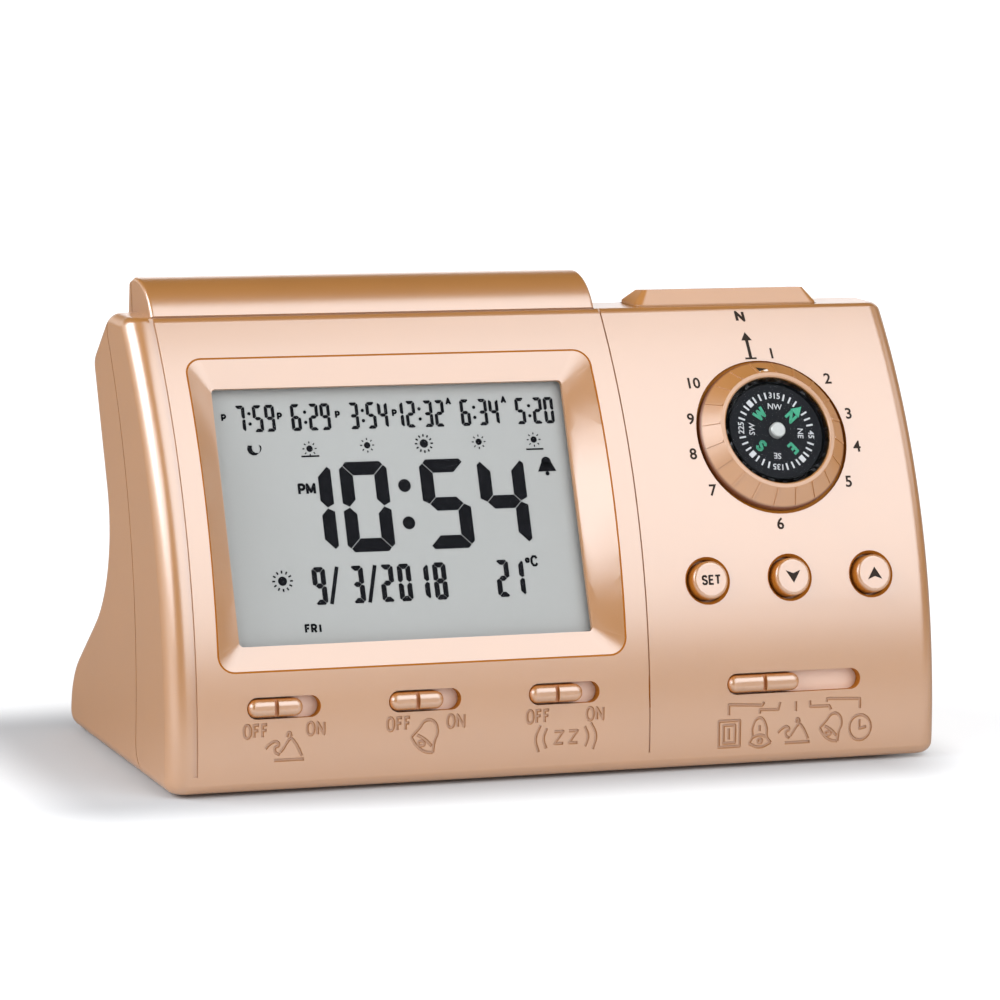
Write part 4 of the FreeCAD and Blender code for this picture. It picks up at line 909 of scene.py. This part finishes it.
rimLine = {  # mm
    "middle": (0.7, 0.15), "half": (38.9, 28.7), "corner": 3.06, "width": 0.38, "steps": 8, "sideSteps": 20,
}
signWidth = 0.60  # mm
shellWeld = 1e-7  # metres, closes the CAD's loose triangles
shellFinishes = ("casePaint", "recessShadePaint", "signShadePaint")  # the case; the line round the recess and the low walls, darker with painted shade; the signs, darker with painted shade
lowPlaces = {  # where low walls take the painted shade; mm, and degrees up the face
    "below": 0.03, "slots": {"z": 15.66, "half": 2.2, "x": 68.0},
    "rounds": ((29.0, 16.85, 5.2), (45.5, 16.85, 5.2), (62.0, 16.85, 5.2), (45.5, 29.3, 15.4)),
}
sunkSigns = {  # each line is (smooth, closed, points), in mm round the middle of the sign
    "off": [
        (True, True, [(-1.45, 1.15), (-0.85, 0), (-1.45, -1.15), (-2.05, 0)]),
        (False, False, [(-0.2, -1.1), (-0.2, 1.1), (0.75, 1.1)]), (False, False, [(-0.2, 0.1), (0.6, 0.1)]),
        (False, False, [(1.35, -1.1), (1.35, 1.1), (2.25, 1.1)]), (False, False, [(1.35, 0.1), (2.1, 0.1)]),
    ],
    "on": [
        (True, True, [(-0.95, 1.15), (-0.3, 0), (-0.95, -1.15), (-1.6, 0)]),
        (False, False, [(0.35, -1.1), (0.35, 1.1), (1.6, -1.1), (1.6, 1.1)]),
    ],
    "dome": [
        (True, False, [(-4.3, 0.15), (-3.4, 1.0), (-2.3, 1.35), (-1.8, 0.75), (-2.5, 0.3), (-2.4, -0.6),
                       (-1.6, -1.0)]),
        (True, False, [(-1.5, -0.6), (-0.9, 0.15), (-0.2, 1.2), (0.45, 1.75), (1.2, 1.1), (1.9, -0.1),
                       (2.5, -1.4)]),
        (True, False, [(-0.3, 2.05), (0.1, 2.9), (0.6, 2.1)]), (False, False, [(-2.7, -2.0), (2.9, -2.0)]),
    ],
    "tiltedBell": [
        (True, False, [(-2.65, 0.0), (-1.1, 1.5), (0.1, 2.8), (1.6, 2.7), (2.4, 0.9), (1.75, -1.2),
                       (1.5, -3.0)]),
        (True, False, [(-2.65, 0.0), (-1.6, -1.6), (0, -2.75), (1.5, -3.0)]),
        (True, False, [(-1.5, 0.35), (-0.1, -0.45), (1.3, -1.8)]),
        (True, True, [(-0.9, -0.8), (-0.1, -1.3), (-0.6, -1.7), (-1.3, -1.3)]),
    ],
    "bell": [
        (True, False, [(-2.2, -2.0), (-1.55, -0.9), (-1.5, 0.9), (-0.1, 2.7), (1.3, 0.9), (1.4, -0.9),
                       (2.2, -2.0)]),
        (True, False, [(-2.2, -2.0), (0, -2.75), (2.2, -2.0)]),
        (True, False, [(-1.5, -0.9), (0, -0.5), (1.4, -0.9)]), (False, False, [(-0.1, 1.3), (-0.1, 0.2)]),
        (True, True, [(0, -1.2), (0.45, -1.6), (0, -2.0), (-0.45, -1.6)]),
    ],
    "waves": [
        (True, False, [(-4.9, 2.4), (-5.9, 0), (-5.3, -2.5)]),
        (True, False, [(-3.7, 1.8), (-4.35, -0.1), (-3.8, -1.9)]),
        (True, False, [(3.7, 1.8), (4.35, -0.1), (3.8, -1.9)]),
        (True, False, [(4.9, 2.4), (5.9, 0), (5.3, -2.5)]),
        (False, False, [(-2.2, 1.1), (-0.5, 1.1), (-2.2, -1.1), (-0.5, -1.1)]),
        (False, False, [(0.6, 1.1), (2.3, 1.1), (0.6, -1.1), (2.3, -1.1)]),
    ],
    "calendar": [
        (False, True, [(-2.1, -2.4), (2.1, -2.4), (2.1, 2.4), (-2.1, 2.4)]),
        (False, True, [(-1.15, -1.7), (1.15, -1.7), (1.15, 1.6), (-1.15, 1.6)]),
        (False, False, [(-0.1, -1.1), (-0.1, 1.0)]),
    ],
    "clock": [
        (True, True, [(0, 2.35), (2.2, 0), (0, -2.35), (-2.2, 0)]),
        (False, False, [(-0.15, 1.5), (-0.15, -0.2), (1.3, 0.1)]),
    ],
    "links": [
        (False, False, [(-6.1, 1.0), (-6.5, 0.45), (-13.2, 0.85), (-13.2, -1.1)]),
        (False, False, [(-2.9, 0.85), (-3.3, -0.5), (-7.0, -0.35), (-7.0, -1.1)]),
        (False, False, [(0.25, 0.85), (0.25, -1.0)]),
        (False, False, [(3.1, 0.85), (3.2, -0.25), (7.05, -0.3), (7.4, -1.05)]),
        (False, False, [(6.5, 0.4), (6.65, 1.05), (13.3, 0.75), (13.25, -1.1)]),
    ],
}
sunkPlaces = [  # sign, x, lean, size
    ("off", -59.2, 6.15, 1.0), ("on", -47.9, 6.15, 1.0), ("dome", -53.0, 4.6, 1.0),
    ("off", -32.3, 6.15, 1.0), ("on", -21.3, 6.15, 1.0), ("tiltedBell", -27.2, 5.0, 1.0),
    ("off", -5.5, 6.15, 1.0), ("on", 5.7, 6.15, 1.0), ("waves", 0.0, 4.3, 1.0),
    ("links", 45.45, 5.9, 1.0), ("calendar", 32.33, 3.81, 1.0), ("bell", 38.5, 3.8, 1.0),
    ("dome", 46.0, 3.6, 0.9), ("tiltedBell", 52.9, 3.9, 0.88), ("clock", 58.8, 3.76, 1.0),
]


def rimPoints(v):  # along the edge of the display's recess, on the curved face
    flat = []
    for i, signs in enumerate([(1, -1), (1, 1), (-1, 1), (-1, -1)]):
        x, y = [v["middle"][k] + sign * (v["half"][k] - v["corner"]) for k, sign in enumerate(signs)]
        for step in range(v["steps"] + 1):
            a = math.radians(90 * i - 90 + 90 * step / v["steps"])
            flat.append(Vector((x + v["corner"] * math.cos(a), y + v["corner"] * math.sin(a))))
    points = []
    for start, end in zip(flat, flat[1:] + flat[:1]):
        parts = v["sideSteps"] if (end - start).length > v["corner"] else 1
        points += [start.lerp(end, k / parts) for k in range(parts)]
    return [(p.x, p.y, math.sqrt(face["radius"] ** 2 - p.y ** 2) - face["radius"]) for p in points]


def makeSunkCutter():
    cutter = strokes([(False, True, rimPoints(rimLine))], rimLine["width"])
    bmesh.ops.transform(cutter, matrix=facePlace(display["x"], display["lean"]), verts=cutter.verts)
    # the groove round the recess is real; its darker paint is painted shade
    for side in cutter.faces:
        side.material_index = shellFinishes.index("recessShadePaint")
    for sign, x, lean, size in sunkPlaces:
        lines = [(smooth, closed, [(px * size, py * size) for px, py in points])
                 for smooth, closed, points in sunkSigns[sign]]
        part = strokes(lines, signWidth)
        wrapOnFace(part, x, lean)
        # painted shade: the sunk signs take darker paint
        for side in part.faces:
            side.material_index = shellFinishes.index("signShadePaint")
        addTo(cutter, part)
    bmesh.ops.scale(cutter, vec=(mm, mm, mm), verts=cutter.verts)
    bmesh.ops.recalc_face_normals(cutter, faces=cutter.faces)
    mesh = bpy.data.meshes.new("sunkCutter")
    for name in shellFinishes:
        mesh.materials.append(finish[name])
    cutter.to_mesh(mesh)
    cutter.free()
    obj = bpy.data.objects.new("sunkCutter", mesh)
    scene.collection.objects.link(obj)
    return obj


def cutMesh(name, bm, cutter):  # the mesh less the cutter
    for side in bm.faces:
        side.material_index = 0
    mesh = bpy.data.meshes.new(name)
    for material in cutter.data.materials:
        mesh.materials.append(material)
    bm.to_mesh(mesh)
    bm.free()
    whole = bpy.data.objects.new(name, mesh)
    scene.collection.objects.link(whole)
    cut = whole.modifiers.new("cut", "BOOLEAN")
    cut.operation = "DIFFERENCE"
    cut.solver = "EXACT"
    cut.use_self = True
    cut.object = cutter
    bpy.context.view_layer.update()
    result = bpy.data.meshes.new_from_object(whole.evaluated_get(bpy.context.evaluated_depsgraph_get()))
    for obj in (whole, cutter):
        spent = obj.data
        bpy.data.objects.remove(obj)
        bpy.data.meshes.remove(spent)
    return result


corner = {  # the rounded ends of the curved face, in mm
    "half": 75.0, "radius": 3.6, "slack": 0.001,
    "within": 0.03,  # a point this near lies on it
    "pull": 0.3,     # a new point this near is moved onto it
    "longest": 0.9, "rounds": 4,
}


def cornerAt(at, within):  # the place and normal on a rounded end nearest to a point, or nothing
    radius = corner["radius"]
    spoke = Vector((0, at.y / mm - face["axisY"], at.z / mm - face["axisZ"]))
    side = math.copysign(1, at.x)
    turn = Vector((abs(at.x) / mm - corner["half"] + radius, spoke.length - face["radius"] + radius))
    if min(turn) < -corner["slack"] or abs(turn.length - radius) > within:
        return None
    turn.normalize()
    spoke.normalize()
    out = Vector((side * turn.x, 0, 0)) + spoke * turn.y
    middle = Vector((side * (corner["half"] - radius), 0, 0)) + faceAxis + spoke * (face["radius"] - radius)
    return (middle + out * radius) * mm, out


def refineCorners(bm):
    for _ in range(corner["rounds"]):
        long = [edge for edge in bm.edges if edge.calc_length() > corner["longest"] * mm
                and all(cornerAt(vert.co, corner["within"]) for vert in edge.verts)]
        if not long:
            break
        made = bmesh.ops.subdivide_edges(bm, edges=long, cuts=1)["geom_inner"]
        for vert in made:
            if isinstance(vert, bmesh.types.BMVert):
                found = cornerAt(vert.co, corner["pull"])
                if found:
                    vert.co = found[0]
        bmesh.ops.triangulate(bm, faces=[side for side in bm.faces if len(side.verts) > 3])


shading = {  # mm, and how squarely a face has to look along a normal that it takes
    "same": 0.002, "onFace": 0.02, "faceLook": 0.99, "cornerLook": 0.85,
}


def keepShading(mesh, source, v):  # the source's smooth normals, and the curved face's own at new points
    tree = KDTree(len(source.vertices))
    for vert in source.vertices:
        tree.insert(vert.co, vert.index)
    tree.balance()
    sourceNormal = {}
    for loop in source.loops:
        sourceNormal[loop.vertex_index] = source.corner_normals[loop.index].vector.copy()
    normals = []
    for polygon in mesh.polygons:
        for loop in polygon.loop_indices:
            at = mesh.vertices[mesh.loops[loop].vertex_index].co
            near = [sourceNormal[index] for _, index, _ in tree.find_range(at, v["same"] * mm)]
            radial = at - faceAxis * mm
            radial.x = 0
            onFace = abs(radial.length - face["radius"] * mm) < v["onFace"] * mm
            radial.normalize()
            if onFace and not near and radial.dot(polygon.normal) > v["faceLook"]:
                near.append(radial)
            best = max(near, key=polygon.normal.dot) if near else polygon.normal.copy()
            rounded = cornerAt(at, corner["within"])
            if rounded and rounded[1].dot(polygon.normal) > v["cornerLook"]:
                best = rounded[1]
            normals.append(best)
    for polygon in mesh.polygons:
        polygon.use_smooth = True
    mesh.normals_split_custom_set(normals)


def shadeLowFaces(mesh, v):  # painted shade: the walls of the slots, the bores and the dial's seat take the darker paint
    rounds = [(facePlace(x, lean).translation * mm, reach * mm) for x, lean, reach in v["rounds"]]
    slots = v["slots"]
    for polygon in mesh.polygons:
        at = polygon.center
        depth = face["radius"] - math.hypot(at.y / mm - face["axisY"], at.z / mm - face["axisZ"])
        if polygon.material_index or depth < v["below"]:
            continue
        slotted = abs(at.z / mm - slots["z"]) < slots["half"] and abs(at.x / mm) < slots["x"]
        if slotted or any((at - middle).length < reach for middle, reach in rounds):
            polygon.material_index = shellFinishes.index("recessShadePaint")


def makeFrontShell():
    source = nodes["front_shell"]
    bm = bmesh.new()
    bm.from_mesh(source.data)
    bmesh.ops.remove_doubles(bm, verts=bm.verts, dist=shellWeld)
    refineCorners(bm)
    mesh = cutMesh("engraved_front_shell", bm, makeSunkCutter())
    keepShading(mesh, source.data, shading)
    shadeLowFaces(mesh, lowPlaces)
    piece = bpy.data.objects.new("engraved_front_shell", mesh)
    scene.collection.objects.link(piece)
    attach(piece, "case")
    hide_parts("front_shell")


makeFrontShell()
print("front shell engraved")
